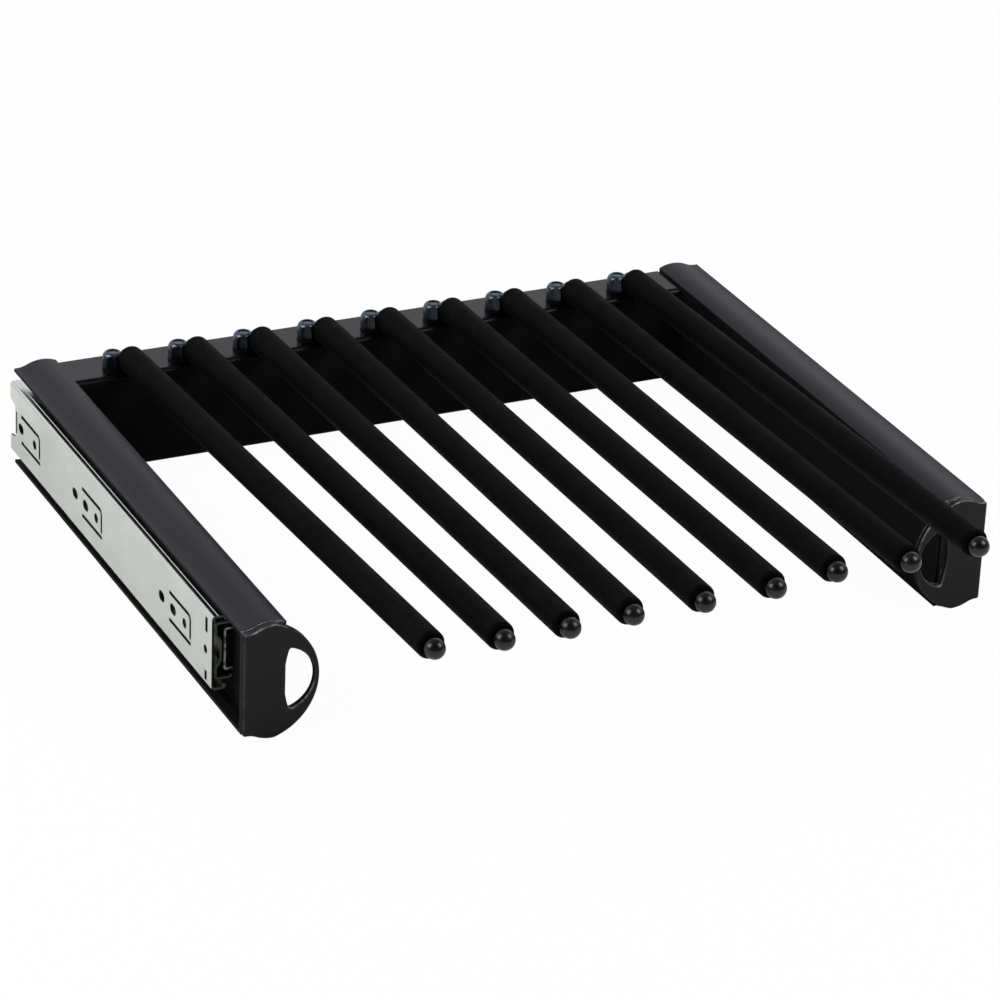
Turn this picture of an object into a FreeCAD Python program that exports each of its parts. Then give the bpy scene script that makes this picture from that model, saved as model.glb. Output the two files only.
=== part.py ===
import FreeCAD, Part
import collections
import math
import os

import Sketcher
from FreeCAD import Placement, Rotation, Vector

# Pull-out trouser rack, in millimetres. X runs across the rack, +Y to its back, +Z up.
# The origin is midway between the slides, on their centre line, just behind the end caps' front faces.

# Driving dimensions: alias and value. Lengths are in millimetres and angles in degrees.
DIMENSIONS = {
    # Slides
    "width_over_slides": 428.0,
    "slide_length": 300.0,
    "slide_front": 35.3,
    "slide_height": 42.0,
    "slide_thickness": 12.7,
    "slide_sheet": 1.2,
    "slide_lip": 8.0,
    "slide_lip_depth": 2.8,
    "tab_length": 30.4,
    "tab_height": 18.0,
    "tab_slit": 2.2,
    "tab_bridge": 1.4,
    "tab_corner": 4.0,
    "screw_hole_radius": 2.7,
    "front_hole_radius": 2.3,
    "slot_length": 8.0,
    "slot_width": 5.6,
    "flange_ridge_radius": 0.6,
    "rear_notch": 7.6,
    "rear_notch_height": 19.2,
    "rear_notch_flare": 1.5,
    "rear_tab_height": 16.0,
    "rear_tab_reach": 8.0,
    "buffer_length": 5.0,
    "buffer_height": 12.0,
    "buffer_inset": 2.2,
    "lever_length": 20.0,
    "lever_thickness": 3.4,
    "middle_front": 37.0,
    "inner_front": 38.0,
    "boss_radius": 5.1,
    "boss_dish_radius": 3.9,
    "members_back": 320.9,
    "cage_front": 120.0,
    "cage_length": 116.0,
    "cage_sheet": 0.5,
    "outer_ball_radius": 1.6,
    "inner_ball_radius": 1.25,
    # Side rails
    "rail_inset": 2.0,
    "rail_front": 3.2,
    "rail_back": 334.5,
    "rail_width": 24.8,
    "rail_edge_height": 28.7,
    "rail_crest_height": 32.0,
    "rail_crest_inset": 16.0,
    "rail_corner": 1.0,
    "rail_wall": 1.8,
    # End caps
    "cap_thickness": 3.4,
    "cap_skirt": 1.8,
    "cap_seam": 0.8,
    "cap_bow_radius": 33.3,
    "cap_reach": 40.8,
    "cap_corner": 1.2,
    "cap_edge_round": 0.8,
    "cap_plug": 10.0,
    "cap_plug_height": 40.0,
    "finger_hole_width": 16.4,
    "finger_hole_round": 17.7,
    "finger_hole_flat": 55.0,
    "finger_hole_rim": 2.5,
    "finger_hole_tip": 1.4,
    # Back beam
    "beam_depth": 28.8,
    "beam_height": 56.4,
    "beam_sheet": 1.5,
    "beam_end_gap": 1.0,
    "beam_plate": 2.8,
    "beam_plate_depth": 24.0,
    "beam_plate_height": 50.0,
    # Rods
    "rod_pitch": 38.9,
    "rod_shift": 2.65,
    "rod_radius": 7.5,
    "rod_length": 397.8,
    "rod_rise": 2.0,
    "sleeve_rear": 312.0,
    "sleeve_rear_round": 2.9,
    "sleeve_front_round": 2.0,
    "sleeve_seat_radius": 4.75,
    "sleeve_seat_depth": 2.7,
    "core_radius": 4.0,
    "stub_radius": 2.5,
    "stub_length": 6.0,
    "ball_radius": 5.45,
    "ball_stand": 3.2,
    "ball_stem_radius": 3.0,
    "ball_stem_length": 8.0,
    "eye_radius": 6.0,
    "eye_thickness": 1.0,
    "eye_offset": 7.6,
    "eye_back": 317.2,
    "lug_width": 8.0,
    "riser_width": 4.0,
    "nut_flats": 10.0,
    "nut_height": 9.2,
    "nut_hexagon_height": 6.2,
    "nut_collar_radius": 4.9,
    "nut_collar_round": 1.7,
    "bolt_radius": 3.0,
    "bolt_head_height": 4.0,
    # Small screws
    "screw_radius": 2.0,
    "screw_head_radius": 3.6,
    "screw_head_height": 2.0,
    "slide_screw_shank": 6.0,
    "beam_screw_shank": 8.0,
}

# The rods from left to right, in degrees: the lean about the bolt, and what is added to the common rise.
# They are bolted by hand, so they are not quite parallel.
ROD_SETTINGS = ((0.83, 0.13), (0.59, -0.18), (0.11, -0.20), (-0.51, -0.08), (-0.41, -0.13),
                (-0.30, -0.07), (-0.92, 0.34), (-0.41, 0.03), (-0.30, 0.28))

# Slide screw holes, measured from the rear hole towards the front, on the 32 mm grid of furniture holes.
HOLE_STEPS = (0.0, 96.0, 224.0)
REAR_HOLE = 296.5
HOLE_HEIGHT = -0.8
TAB_AHEAD_OF_HOLE = 9.0
SLOT_BEHIND_HOLE = ((21.8,), (16.0, 32.0), (16.0, 32.0))
RAIL_SCREWS = (85.0, 180.0, 290.0)
BEAM_SCREWS = (-15.0, 15.0)
SIDES = (("left", -1), ("right", 1))

# Small openings near a slide's ends: place along the slide, height, width and tallness of each slit.
FRONT_SLITS = ((42.6, 13.2, 3.0, 8.4), (43.1, -15.8, 3.0, 5.4))
FRONT_HOLE = (43.7, -1.2)
REAR_SLIT_WIDTH, REAR_SLIT_HEIGHT = 1.8, 13.0

# The ridge along a cabinet member's flange: inwards from the wardrobe side, and how much of it is sunk in.
RIDGE_INWARD, RIDGE_SUNK = 3.7, 0.25

# Centre lines of the slide members' upper halves: inwards from the wardrobe side, and up from mid-height.
MIDDLE_SECTION = [(11.4, 14.2), (11.4, 15.6), (3.0, 15.6), (3.0, 9.4), (5.6, 5.5)]
INNER_WEB, INNER_FLANGE = 8.2, 11.4

# Ball cages: where the web lies, the flanges' height, their reach and the balls' row, counted as above.
Cage = collections.namedtuple("Cage", "name web flange reach row radius_alias")
CAGES = (Cage("outer", 1.8, 18.0, 6.4, 4.2, "outer_ball_radius"),
         Cage("inner", 6.9, 13.5, 11.2, 9.5, "inner_ball_radius"))
BALLS_PER_ROW = 10
CAGE_END = 8.0

# The roof of the rail's open channel: inwards from the outer edge, and up from the roof's edge.
CHANNEL_SLOPE = ((5.5, 0.7), (10.7, 2.6))
CHAMBER_HEIGHTS = (26.5, 29.1)

CLEARANCE = 0.1
BOLT_PLAY = 0.3
SLEEVE_GAP = 0.6

doc = FreeCAD.newDocument("trouser_rack")
sheet = doc.addObject("Spreadsheet::Sheet", "dimensions")
for row, (alias, value) in enumerate(DIMENSIONS.items(), start=1):
    sheet.set("A%d" % row, alias)
    sheet.set("B%d" % row, str(value))
    sheet.setAlias("B%d" % row, alias)
doc.recompute()


class Sizes:
    """The sheet's values as attributes."""

    def __getattr__(self, alias):
        return float(sheet.get(alias))


dim = Sizes()
PARTS = []


def bind(obj, **expressions):
    """Ties properties of an object to the sheet."""
    for prop, expression in expressions.items():
        obj.setExpression(prop, expression)
    return obj


def sheet_cell(alias):
    return "dimensions." + alias


def finished(obj, label):
    """Names a finished sub-part and lists it for writing."""
    obj.Label = label
    PARTS.append(obj)
    return obj


def new_body(label):
    body = doc.addObject("PartDesign::Body", label)
    return finished(body, label)


def new_sketch(body, role, offset=0.0):
    """A sketch on one of the body's own planes, moved along that plane's normal by offset."""
    sketch = body.newObject("Sketcher::SketchObject", body.Label + "_sketch")
    plane = next(f for f in body.Origin.OriginFeatures if f.Role == role)
    sketch.AttachmentSupport = (plane, [""])
    sketch.MapMode = "FlatFace"
    sketch.AttachmentOffset = Placement(Vector(0, 0, offset), Rotation())
    return sketch


def flat(point):
    return Vector(point[0], point[1], 0)


def nearest_end(sketch, index, corner):
    """Which end of an edge lies at a corner: 1 for its start and 2 for its end."""
    return min((1, 2), key=lambda end: (sketch.getPoint(index, end) - corner).Length)


def draw(sketch, edges):
    """Draws a closed outline: each edge is two points for a line, or three for an arc through them."""
    first = sketch.GeometryCount
    for points in edges:
        ends = [flat(p) for p in points]
        curve = Part.LineSegment(*ends) if len(ends) == 2 else Part.Arc(*ends)
        sketch.addGeometry(curve, False)
    for k, points in enumerate(edges):
        this, following = first + k, first + (k + 1) % len(edges)
        corner = flat(points[-1])
        ends = [nearest_end(sketch, index, corner) for index in (this, following)]
        sketch.addConstraint(Sketcher.Constraint("Coincident", this, ends[0], following, ends[1]))


def draw_circle(sketch, centre, radius_alias, extra=0.0):
    """A circle whose radius is tied to the sheet."""
    radius = getattr(dim, radius_alias) + extra
    index = sketch.addGeometry(Part.Circle(flat(centre), Vector(0, 0, 1), radius), False)
    number = sketch.addConstraint(Sketcher.Constraint("Radius", index, radius))
    sketch.setExpression("Constraints[%d]" % number, "%s + %g" % (sheet_cell(radius_alias), extra))


def polygon(points):
    return [(p, points[(k + 1) % len(points)]) for k, p in enumerate(points)]


def quarter(centre, radius, start):
    """The end points and middle of a quarter round about centre, from a start angle in degrees."""
    angles = [math.radians(start + a) for a in (0, 45, 90)]
    return tuple((centre[0] + radius * math.cos(a), centre[1] + radius * math.sin(a)) for a in angles)


def slot_outline(centre, length, width):
    """A slot along the first axis with round ends."""
    (y, z), r = centre, width / 2
    half = length / 2 - r
    return [((y - half, z - r), (y + half, z - r)),
            ((y + half, z - r), (y + half + r, z), (y + half, z + r)),
            ((y + half, z + r), (y - half, z + r)),
            ((y - half, z + r), (y - half - r, z), (y - half, z - r))]


def fold(points, thickness, radius):
    """The outline of a sheet folded along a centre line, with round bends."""
    pts = [flat(p) for p in points]
    dirs = [(b - a).normalize() for a, b in zip(pts, pts[1:])]
    sides = []
    for side in (1, -1):
        edges = []
        normal = [Vector(-d.y, d.x, 0) * (side * thickness / 2) for d in dirs]
        start = pts[0] + normal[0]
        for k in range(1, len(pts) - 1):
            turn = math.atan2(dirs[k - 1].cross(dirs[k]).z, dirs[k - 1].dot(dirs[k]))
            cut = radius * math.tan(abs(turn) / 2)
            inner = Vector(-dirs[k - 1].y, dirs[k - 1].x, 0) * math.copysign(1, turn)
            centre = pts[k] - dirs[k - 1] * cut + inner * radius
            bend = radius - side * math.copysign(thickness / 2, turn)
            arc_start = pts[k] - dirs[k - 1] * cut + normal[k - 1]
            arc_end = pts[k] + dirs[k] * cut + normal[k]
            middle = centre + (pts[k] - centre).normalize() * bend
            edges.append((start, arc_start))
            edges.append((arc_start, middle, arc_end))
            start = arc_end
        edges.append((start, pts[-1] + normal[-1]))
        sides.append(edges)
    back = [tuple(reversed(e)) for e in reversed(sides[1])]
    cap_end = (sides[0][-1][-1], back[0][0])
    cap_start = (back[-1][-1], sides[0][0][0])
    return sides[0] + [cap_end] + back + [cap_start]


def pad(body, sketch, length, reverse=False, middle=False):
    feature = body.newObject("PartDesign::Pad", body.Label + "_pad")
    feature.Profile = sketch
    feature.Reversed = reverse
    feature.Midplane = middle
    feature.setExpression("Length", length)
    doc.recompute()
    return feature


def pocket(body, sketch, length):
    """Cuts a sketch out of the body, evenly to both sides of its plane."""
    before = body.Shape.Volume
    feature = body.newObject("PartDesign::Pocket", body.Label + "_pocket")
    feature.Profile = sketch
    feature.Midplane = True
    feature.Length = length
    doc.recompute()
    if body.Shape.Volume > before - 0.01:
        raise RuntimeError(body.Label + ": a pocket cut nothing")
    return feature


def revolve(body, sketch):
    feature = body.newObject("PartDesign::Revolution", body.Label + "_turned")
    feature.Profile = sketch
    feature.ReferenceAxis = (sketch, ["V_Axis"])
    feature.Angle = 360.0
    doc.recompute()
    return feature


def primitive(kind, name, place, **expressions):
    obj = doc.addObject("Part::" + kind, name)
    obj.Placement = place
    return bind(obj, **expressions)


def joined(kind, name, pieces):
    """A fuse or compound of several objects."""
    obj = doc.addObject("Part::" + kind, name)
    if kind == "Compound":
        obj.Links = pieces
    else:
        obj.Shapes = pieces
    return obj


def cut(name, base, tool):
    obj = doc.addObject("Part::Cut", name)
    obj.Base = base
    obj.Tool = tool
    return obj


def at(x, y, z, rotation=Rotation()):
    return Placement(Vector(x, y, z), rotation)


def along_x(sign):
    """Turns a primitive's own Z to point along X, to the given side."""
    return Rotation(Vector(0, 1, 0), 90 * sign)


# Places worked out from the sheet.
slide_face = dim.width_over_slides / 2
slide_back = dim.slide_front + dim.slide_length
rail_edge = slide_face - dim.rail_inset
rail_wall_in = rail_edge - dim.rail_width
rail_web = slide_face - dim.slide_thickness
beam_top = dim.beam_height / 2
beam_front = dim.rail_back - dim.beam_depth
beam_middle = (beam_front + dim.rail_back) / 2


# Slides

def slide_point(sign, inward, z):
    """A point of the slide's section, counted inwards from the face on the wardrobe side."""
    return (sign * (slide_face - inward), z)


def slide_section(sign, points, thickness, bend):
    line = [slide_point(sign, u, z) for u, z in points]
    return fold(line, thickness, bend)


def both_ends(half):
    """Mirrors the upper half of a section's centre line to its lower half."""
    return half + [(u, -z) for u, z in reversed(half)]


def slide_member(label, sign, half, sheet_thickness, bend, front, length):
    """A rolled member of constant section, from front over length."""
    body = new_body(label)
    sketch = new_sketch(body, "XZ_Plane")
    draw(sketch, slide_section(sign, both_ends(half), sheet_thickness, bend))
    pad(body, sketch, length, reverse=True)
    body.setExpression("Placement.Base.y", front)
    doc.recompute()
    return body


def tab_slits(hole):
    """The two slits that free a tab: over its top and round its front, and below; a bridge parts them."""
    front, top, slit = hole - TAB_AHEAD_OF_HOLE, dim.tab_height / 2, dim.tab_slit
    rear, corner = front + dim.tab_length, dim.tab_corner
    hub = (front + corner, top - corner)
    outer, inner = quarter(hub, corner, 90), quarter(hub, corner - slit, 90)
    foot = slit + dim.tab_bridge - top
    far = [outer[-1], (front, foot), (front + slit, foot), inner[-1]]
    upper = ([((rear, top), outer[0]), outer] + list(zip(far, far[1:])) + [tuple(reversed(inner))]
             + [(inner[0], (rear, top - slit)), ((rear, top - slit), (rear, top))])
    return upper, slot_outline(((front + rear) / 2, slit / 2 - top), dim.tab_length, slit)


def rear_notch():
    """The recess between the two ears at the rear end, whose mouth widens."""
    deep, half = slide_back - dim.rear_notch, dim.rear_notch_height / 2
    past = slide_back + dim.rear_notch
    wide = half + 2 * dim.rear_notch_flare
    return polygon([(deep, -half), (past, -wide), (past, wide), (deep, half)])


def rectangle(y, z, wide, tall):
    """A rectangle about a middle point."""
    left, right, low, high = y - wide / 2, y + wide / 2, z - tall / 2, z + tall / 2
    return polygon([(left, low), (right, low), (right, high), (left, high)])


def moved(edges, along, up=0.0):
    """An outline moved along its two axes."""
    return [tuple((p[0] + along, p[1] + up) for p in e) for e in edges]


def cabinet_member(side, sign):
    t, half = dim.slide_sheet, dim.slide_height / 2
    lip = dim.slide_lip - t / 2
    section = [(lip, half - dim.slide_lip_depth), (lip, half - t / 2), (t / 2, half - t / 2)]
    label = side + "_cabinet_member"
    body = slide_member(label, sign, section, t, t, sheet_cell("slide_front"), sheet_cell("slide_length"))
    ridge = new_sketch(body, "XZ_Plane")
    for z in (RIDGE_SUNK - half, half - RIDGE_SUNK):
        draw_circle(ridge, slide_point(sign, RIDGE_INWARD, z), "flange_ridge_radius")
    pad(body, ridge, sheet_cell("slide_length"), reverse=True)
    back = -dim.slide_front
    cuts = new_sketch(body, "YZ_Plane", sign * (slide_face - t / 2))
    for step, slots in zip(HOLE_STEPS, SLOT_BEHIND_HOLE):
        hole = REAR_HOLE - step
        for slit in tab_slits(hole):
            draw(cuts, moved(slit, back, HOLE_HEIGHT))
        draw_circle(cuts, (hole + back, HOLE_HEIGHT), "screw_hole_radius")
        for behind in slots:
            slot = slot_outline((hole + behind, HOLE_HEIGHT), dim.slot_length, dim.slot_width)
            draw(cuts, moved(slot, back))
    draw(cuts, moved(rear_notch(), back))
    rear_slit = slide_back - dim.rear_notch - t - REAR_SLIT_WIDTH / 2
    draw(cuts, moved(rectangle(rear_slit, 0, REAR_SLIT_WIDTH, REAR_SLIT_HEIGHT), back))
    for slit in FRONT_SLITS:
        draw(cuts, moved(rectangle(*slit), back))
    draw_circle(cuts, (FRONT_HOLE[0] + back, FRONT_HOLE[1]), "front_hole_radius")
    pocket(body, cuts, 2 * t)
    stop = new_sketch(body, "YZ_Plane", sign * slide_face)
    draw(stop, moved(rectangle(slide_back - dim.rear_notch - t / 2, 0, t, dim.rear_tab_height), back))
    pad(body, stop, sheet_cell("rear_tab_reach"), reverse=sign > 0)


def middle_member(side, sign):
    t = dim.slide_sheet
    length = "%s - %s" % (sheet_cell("members_back"), sheet_cell("middle_front"))
    slide_member(side + "_middle_member", sign, MIDDLE_SECTION, t, t, sheet_cell("middle_front"), length)


def circles_along(body, x, radius_alias, extra=0.0):
    """A sketch across X at that place, with one circle at each rail screw."""
    sketch = new_sketch(body, "YZ_Plane", x)
    for y in RAIL_SCREWS:
        draw_circle(sketch, (y - dim.inner_front, 0), radius_alias, extra)
    return sketch


def inner_member(side, sign):
    """A channel that opens to the rail, with a dished boss for each screw that holds it there."""
    t = dim.slide_sheet
    section = [(dim.slide_thickness, INNER_FLANGE), (INNER_WEB, INNER_FLANGE)]
    length = "%s - %s" % (sheet_cell("members_back"), sheet_cell("inner_front"))
    body = slide_member(side + "_inner_member", sign, section, t, t, sheet_cell("inner_front"), length)
    bosses = circles_along(body, sign * rail_web, "boss_radius")
    pad(body, bosses, "%s - %g" % (sheet_cell("slide_thickness"), INNER_WEB), reverse=sign < 0)
    floor, mouth = dim.slide_thickness - t, INNER_WEB - t
    dishes = circles_along(body, sign * (slide_face - (floor + mouth) / 2), "boss_dish_radius")
    pocket(body, dishes, floor - mouth)
    holes = circles_along(body, sign * (rail_web + t / 2), "screw_radius", CLEARANCE)
    pocket(body, holes, 2 * t)


def ball_spots():
    step = (dim.cage_length - 2 * CAGE_END) / (BALLS_PER_ROW - 1)
    return [dim.cage_front + CAGE_END + k * step for k in range(BALLS_PER_ROW)]


def ball_cage(side, sign, cage):
    """A cage with a row of holes above and below, and the balls in them."""
    t, label = dim.cage_sheet, "%s_%s" % (side, cage.name)
    section = [(cage.reach, cage.flange), (cage.web, cage.flange)]
    front, length = sheet_cell("cage_front"), sheet_cell("cage_length")
    body = slide_member(label + "_cage", sign, section, t, t, front, length)
    x, _ = slide_point(sign, cage.row, 0)
    holes = new_sketch(body, "XY_Plane")
    for y in ball_spots():
        draw_circle(holes, (x, y - dim.cage_front), cage.radius_alias, CLEARANCE / 2)
    pocket(body, holes, 2 * (cage.flange + t))
    balls = []
    for z in (cage.flange, -cage.flange):
        for y in ball_spots():
            ball = primitive("Sphere", label + "_ball", at(x, y, z), Radius=sheet_cell(cage.radius_alias))
            balls.append(ball)
    finished(joined("Compound", label + "_balls", balls), label + "_balls")


def rear_buffer(side, sign):
    """A soft block on the front of the rear stop tab."""
    reach = slide_face - (dim.buffer_inset if sign < 0 else dim.rear_tab_reach)
    y = slide_back - dim.rear_notch - dim.slide_sheet - dim.buffer_length
    block = primitive("Box", side + "_rear_buffer", at(sign * reach, y, -dim.buffer_height / 2),
                      Length="%s - %s" % (sheet_cell("rear_tab_reach"), sheet_cell("buffer_inset")),
                      Width=sheet_cell("buffer_length"), Height=sheet_cell("buffer_height"))
    finished(block, side + "_rear_buffer")


def release_lever(side, sign):
    """The tapered plastic lever that lies on the inner member's web, just behind its front end."""
    body = new_body(side + "_release_lever")
    sketch = new_sketch(body, "YZ_Plane", sign * (slide_face - INNER_WEB - dim.slide_sheet / 2))
    front = dim.inner_front + 1.0
    rear, wide, narrow, hollow = front + dim.lever_length, 8.0, 3.0, 2.5
    draw(sketch, [((front, -wide), (rear, -narrow)),
                  ((rear, -narrow), (rear + narrow, 0.0), (rear, narrow)),
                  ((rear, narrow), (front, wide)),
                  ((front, wide), (front + hollow, 0.0), (front, -wide))])
    pad(body, sketch, sheet_cell("lever_thickness"), reverse=sign > 0)


def screw(name, sign, head_x, y, z, shank_alias):
    """A pan-head screw along X, with its head against head_x and its shank to the sign side."""
    head_place = at(head_x, y, z, along_x(-sign))
    shank_place = at(head_x, y, z, along_x(sign))
    head = primitive("Cylinder", name + "_head", head_place,
                     Radius=sheet_cell("screw_head_radius"), Height=sheet_cell("screw_head_height"))
    shank = primitive("Cylinder", name + "_shank", shank_place,
                      Radius=sheet_cell("screw_radius"), Height=sheet_cell(shank_alias))
    return joined("MultiFuse", name, [head, shank])


def slide_screws(side, sign):
    face = sign * (slide_face - dim.slide_thickness + dim.slide_sheet)
    screws = [screw(side + "_slide_screw", -sign, face, y, 0, "slide_screw_shank") for y in RAIL_SCREWS]
    finished(joined("Compound", side + "_slide_screws", screws), side + "_slide_screws")


for side, sign in SIDES:
    cabinet_member(side, sign)
    middle_member(side, sign)
    inner_member(side, sign)
    for cage in CAGES:
        ball_cage(side, sign, cage)
    rear_buffer(side, sign)
    release_lever(side, sign)
    slide_screws(side, sign)


# Side rails and end caps

LIP_FLAT = 1.5
CONVEX_SHARE = 0.6
SEAM_SHARE = 0.96
SKIRT_CLEAR = 1.4


def wave_bend(edge, edge_z, crest, crest_z, start):
    """How far each arc of the wave turns, and the sum of their radii."""
    run, rise = edge - start - crest, crest_z - edge_z
    bend = 2 * math.atan2(rise, run)
    return bend, run / math.sin(bend)


def wave_radius(*ends):
    """The radius of the wave's upper arc."""
    return wave_bend(*ends)[1] * CONVEX_SHARE


def wave(edge, edge_z, crest, crest_z, start):
    """An S of two arcs, level at the outer edge and at the crest: the ends and middles of both."""
    bend, total = wave_bend(edge, edge_z, crest, crest_z, start)
    convex = total * CONVEX_SHARE
    concave = total - convex
    foot = (edge - start, edge_z)
    turn = (crest + convex * math.sin(bend), crest_z - convex * (1 - math.cos(bend)))
    hollow = (foot[0] - concave * math.sin(bend / 2), edge_z + concave * (1 - math.cos(bend / 2)))
    hump = (crest + convex * math.sin(bend / 2), crest_z - convex * (1 - math.cos(bend / 2)))
    return foot, hollow, turn, hump, (crest, crest_z)


def mirrored(edges, sign):
    """Turns an outline drawn for the right side to the given side."""
    return [tuple((sign * p[0], p[1]) for p in e) for e in edges]


def upside_down(edges):
    """The same edges below the centre line, walked the other way."""
    return [tuple((p[0], -p[1]) for p in reversed(e)) for e in reversed(edges)]


def inner_round(big_hub, big_radius, other_hub, other_radius, small):
    """A small round inside two circles, above their hubs: where it touches each, and its middle."""
    a, b = flat(big_hub), flat(other_hub)
    reach_a, reach_b = big_radius - small, other_radius - small
    apart = (b - a).Length
    along = (reach_a ** 2 - reach_b ** 2 + apart ** 2) / (2 * apart)
    up = math.sqrt(reach_a ** 2 - along ** 2)
    line = (b - a).normalize()
    across = Vector(-line.y, line.x, 0)
    if across.y < 0:
        across = across * -1
    centre = a + line * along + across * up
    touch_a = a + (centre - a).normalize() * big_radius
    touch_b = b + (centre - b).normalize() * other_radius
    middle = ((touch_a + touch_b) * 0.5 - centre).normalize() * small + centre
    return [(p.x, p.y) for p in (touch_a, middle, touch_b)]


def rail_top(wall):
    """The rail's outer skin from the outer top edge over the crest to an inner wall."""
    crest = rail_edge - dim.rail_crest_inset
    ends = (rail_edge, dim.rail_edge_height, crest, dim.rail_crest_height, LIP_FLAT)
    foot, hollow, turn, hump, top = wave(*ends)
    radius, corner = wave_radius(*ends), dim.rail_corner
    hub = (crest, top[1] - radius)
    level = wall + corner
    knee = (level, hub[1] + math.sqrt((radius - corner) ** 2 - (crest - level) ** 2))
    swing = math.atan2(hub[0] - knee[0], knee[1] - hub[1])
    low = (hub[0] - radius * math.sin(swing), hub[1] + radius * math.cos(swing))
    brow = (hub[0] - radius * math.sin(swing / 2), hub[1] + radius * math.cos(swing / 2))
    turned = (swing + math.pi / 2) / 2
    bend = (knee[0] - corner * math.sin(turned), knee[1] + corner * math.cos(turned))
    return [((rail_edge, dim.rail_edge_height), foot), (foot, hollow, turn), (turn, hump, top),
            (top, brow, low), (low, bend, (wall, knee[1]))]


def rail_base(wall):
    """The skin's lower half, drawn upright: the same wave to the crest, then level to an inner wall."""
    swell = rail_top(wall)[:3]
    crest = swell[-1][-1]
    corner = dim.rail_corner
    end = quarter((wall + corner, crest[1] - corner), corner, 90)
    return swell + [(crest, end[0]), end]


def rail_skin():
    """The rail's outer skin from the outer top edge round the inner wall to the outer bottom edge."""
    top, base = rail_top(rail_wall_in), rail_base(rail_wall_in)
    wall = [(top[-1][-1], (rail_wall_in, -base[-1][-1][1]))]
    return top + wall + upside_down(base)


def cap_skirt():
    """The skirt's outline: the rail's, with an inner wall that leaves the finger hole free."""
    wall = rail_wall_in + SKIRT_CLEAR
    top = rail_top(wall)
    side_wall = [(top[-1][-1], (wall, -top[-1][-1][1]))]
    edge = [((rail_edge, -dim.rail_edge_height), (rail_edge, dim.rail_edge_height))]
    return top + side_wall + upside_down(top) + edge


def side_rail(side, sign):
    t = dim.rail_wall
    inner_z = dim.rail_edge_height - t
    roof = [(rail_edge - inward, inner_z + up) for inward, up in CHANNEL_SLOPE]
    roof = [(rail_edge, inner_z)] + roof
    channel = [(x, -z) for x, z in roof] + roof[::-1]
    open_side = [((rail_edge, -dim.rail_edge_height), channel[0])]
    open_side += list(zip(channel, channel[1:]))
    open_side += [(channel[-1], (rail_edge, dim.rail_edge_height))]
    near, far = rail_wall_in + t, rail_web - t
    low, high = CHAMBER_HEIGHTS
    chamber = polygon([(near, -low), (far, -high), (far, high), (near, low)])
    body = new_body(side + "_side_rail")
    sketch = new_sketch(body, "XZ_Plane")
    draw(sketch, mirrored(rail_skin() + open_side, sign))
    draw(sketch, mirrored(chamber, sign))
    pad(body, sketch, "%s - %s" % (sheet_cell("rail_back"), sheet_cell("rail_front")), reverse=True)
    body.setExpression("Placement.Base.y", sheet_cell("rail_front"))
    doc.recompute()
    web_holes = new_sketch(body, "YZ_Plane", sign * (rail_web - t / 2))
    for y in RAIL_SCREWS:
        draw_circle(web_holes, (y - dim.rail_front, 0), "screw_radius", CLEARANCE)
    pocket(body, web_holes, 2 * t)
    wall_holes = new_sketch(body, "YZ_Plane", sign * (rail_wall_in + t / 2))
    for z in BEAM_SCREWS:
        draw_circle(wall_holes, (beam_middle - dim.rail_front, z), "screw_radius", CLEARANCE)
    pocket(body, wall_holes, 2 * t)


def cap_outline():
    """The D of the end cap: a waved top like the rail's, then one bow round the inner side."""
    edge, edge_z = rail_edge, dim.rail_edge_height
    crest, crest_z = rail_edge - dim.rail_crest_inset, dim.rail_crest_height
    foot, hollow, turn, hump, top = wave(edge, edge_z, crest, crest_z, LIP_FLAT)
    bow, centre = dim.cap_bow_radius, edge - dim.cap_reach + dim.cap_bow_radius
    # The shoulder between crest and bow touches both: level at the crest, and inside the bow.
    offset = centre - crest
    shoulder = (bow ** 2 - crest_z ** 2 - offset ** 2) / (2 * (bow - crest_z))
    hub = (crest, crest_z - shoulder)
    reach = math.hypot(centre - hub[0], hub[1])
    meet = (centre - bow * (centre - hub[0]) / reach, bow * hub[1] / reach)
    swing = math.asin((crest - meet[0]) / shoulder) / 2
    brow = (crest - shoulder * math.sin(swing), hub[1] + shoulder * math.cos(swing))
    corner = dim.cap_corner
    bevel = quarter((edge - corner, edge_z - corner), corner, 0)
    upper = [bevel, (bevel[-1], foot), (foot, hollow, turn), (turn, hump, top), (top, brow, meet)]
    round_front = [(meet, (centre - bow, 0), (meet[0], -meet[1]))]
    outer = [((edge, -edge_z + corner), (edge, edge_z - corner))]
    return outer + upper + round_front + upside_down(upper)


def finger_hole():
    """A lens: a round bow near the cap's rim and a flatter one near the rail, meeting in two round tips."""
    near = rail_edge - dim.cap_reach + dim.finger_hole_rim
    far = near + dim.finger_hole_width
    round_hub, flat_hub = (near + dim.finger_hole_round, 0), (far - dim.finger_hole_flat, 0)
    tip = inner_round(round_hub, dim.finger_hole_round, flat_hub, dim.finger_hole_flat, dim.finger_hole_tip)
    low = [(x, -z) for x, z in tip]
    return [(low[0], (near, 0), tip[0]), tuple(tip), (tip[2], (far, 0), low[2]), tuple(reversed(low))]


def drawn_in(edges, share):
    """The same edges, with a share of their distance from the middle of the rail's section."""
    middle = (rail_edge + rail_wall_in) / 2
    return [tuple((middle + (x - middle) * share, z * share) for x, z in e) for e in edges]


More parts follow.
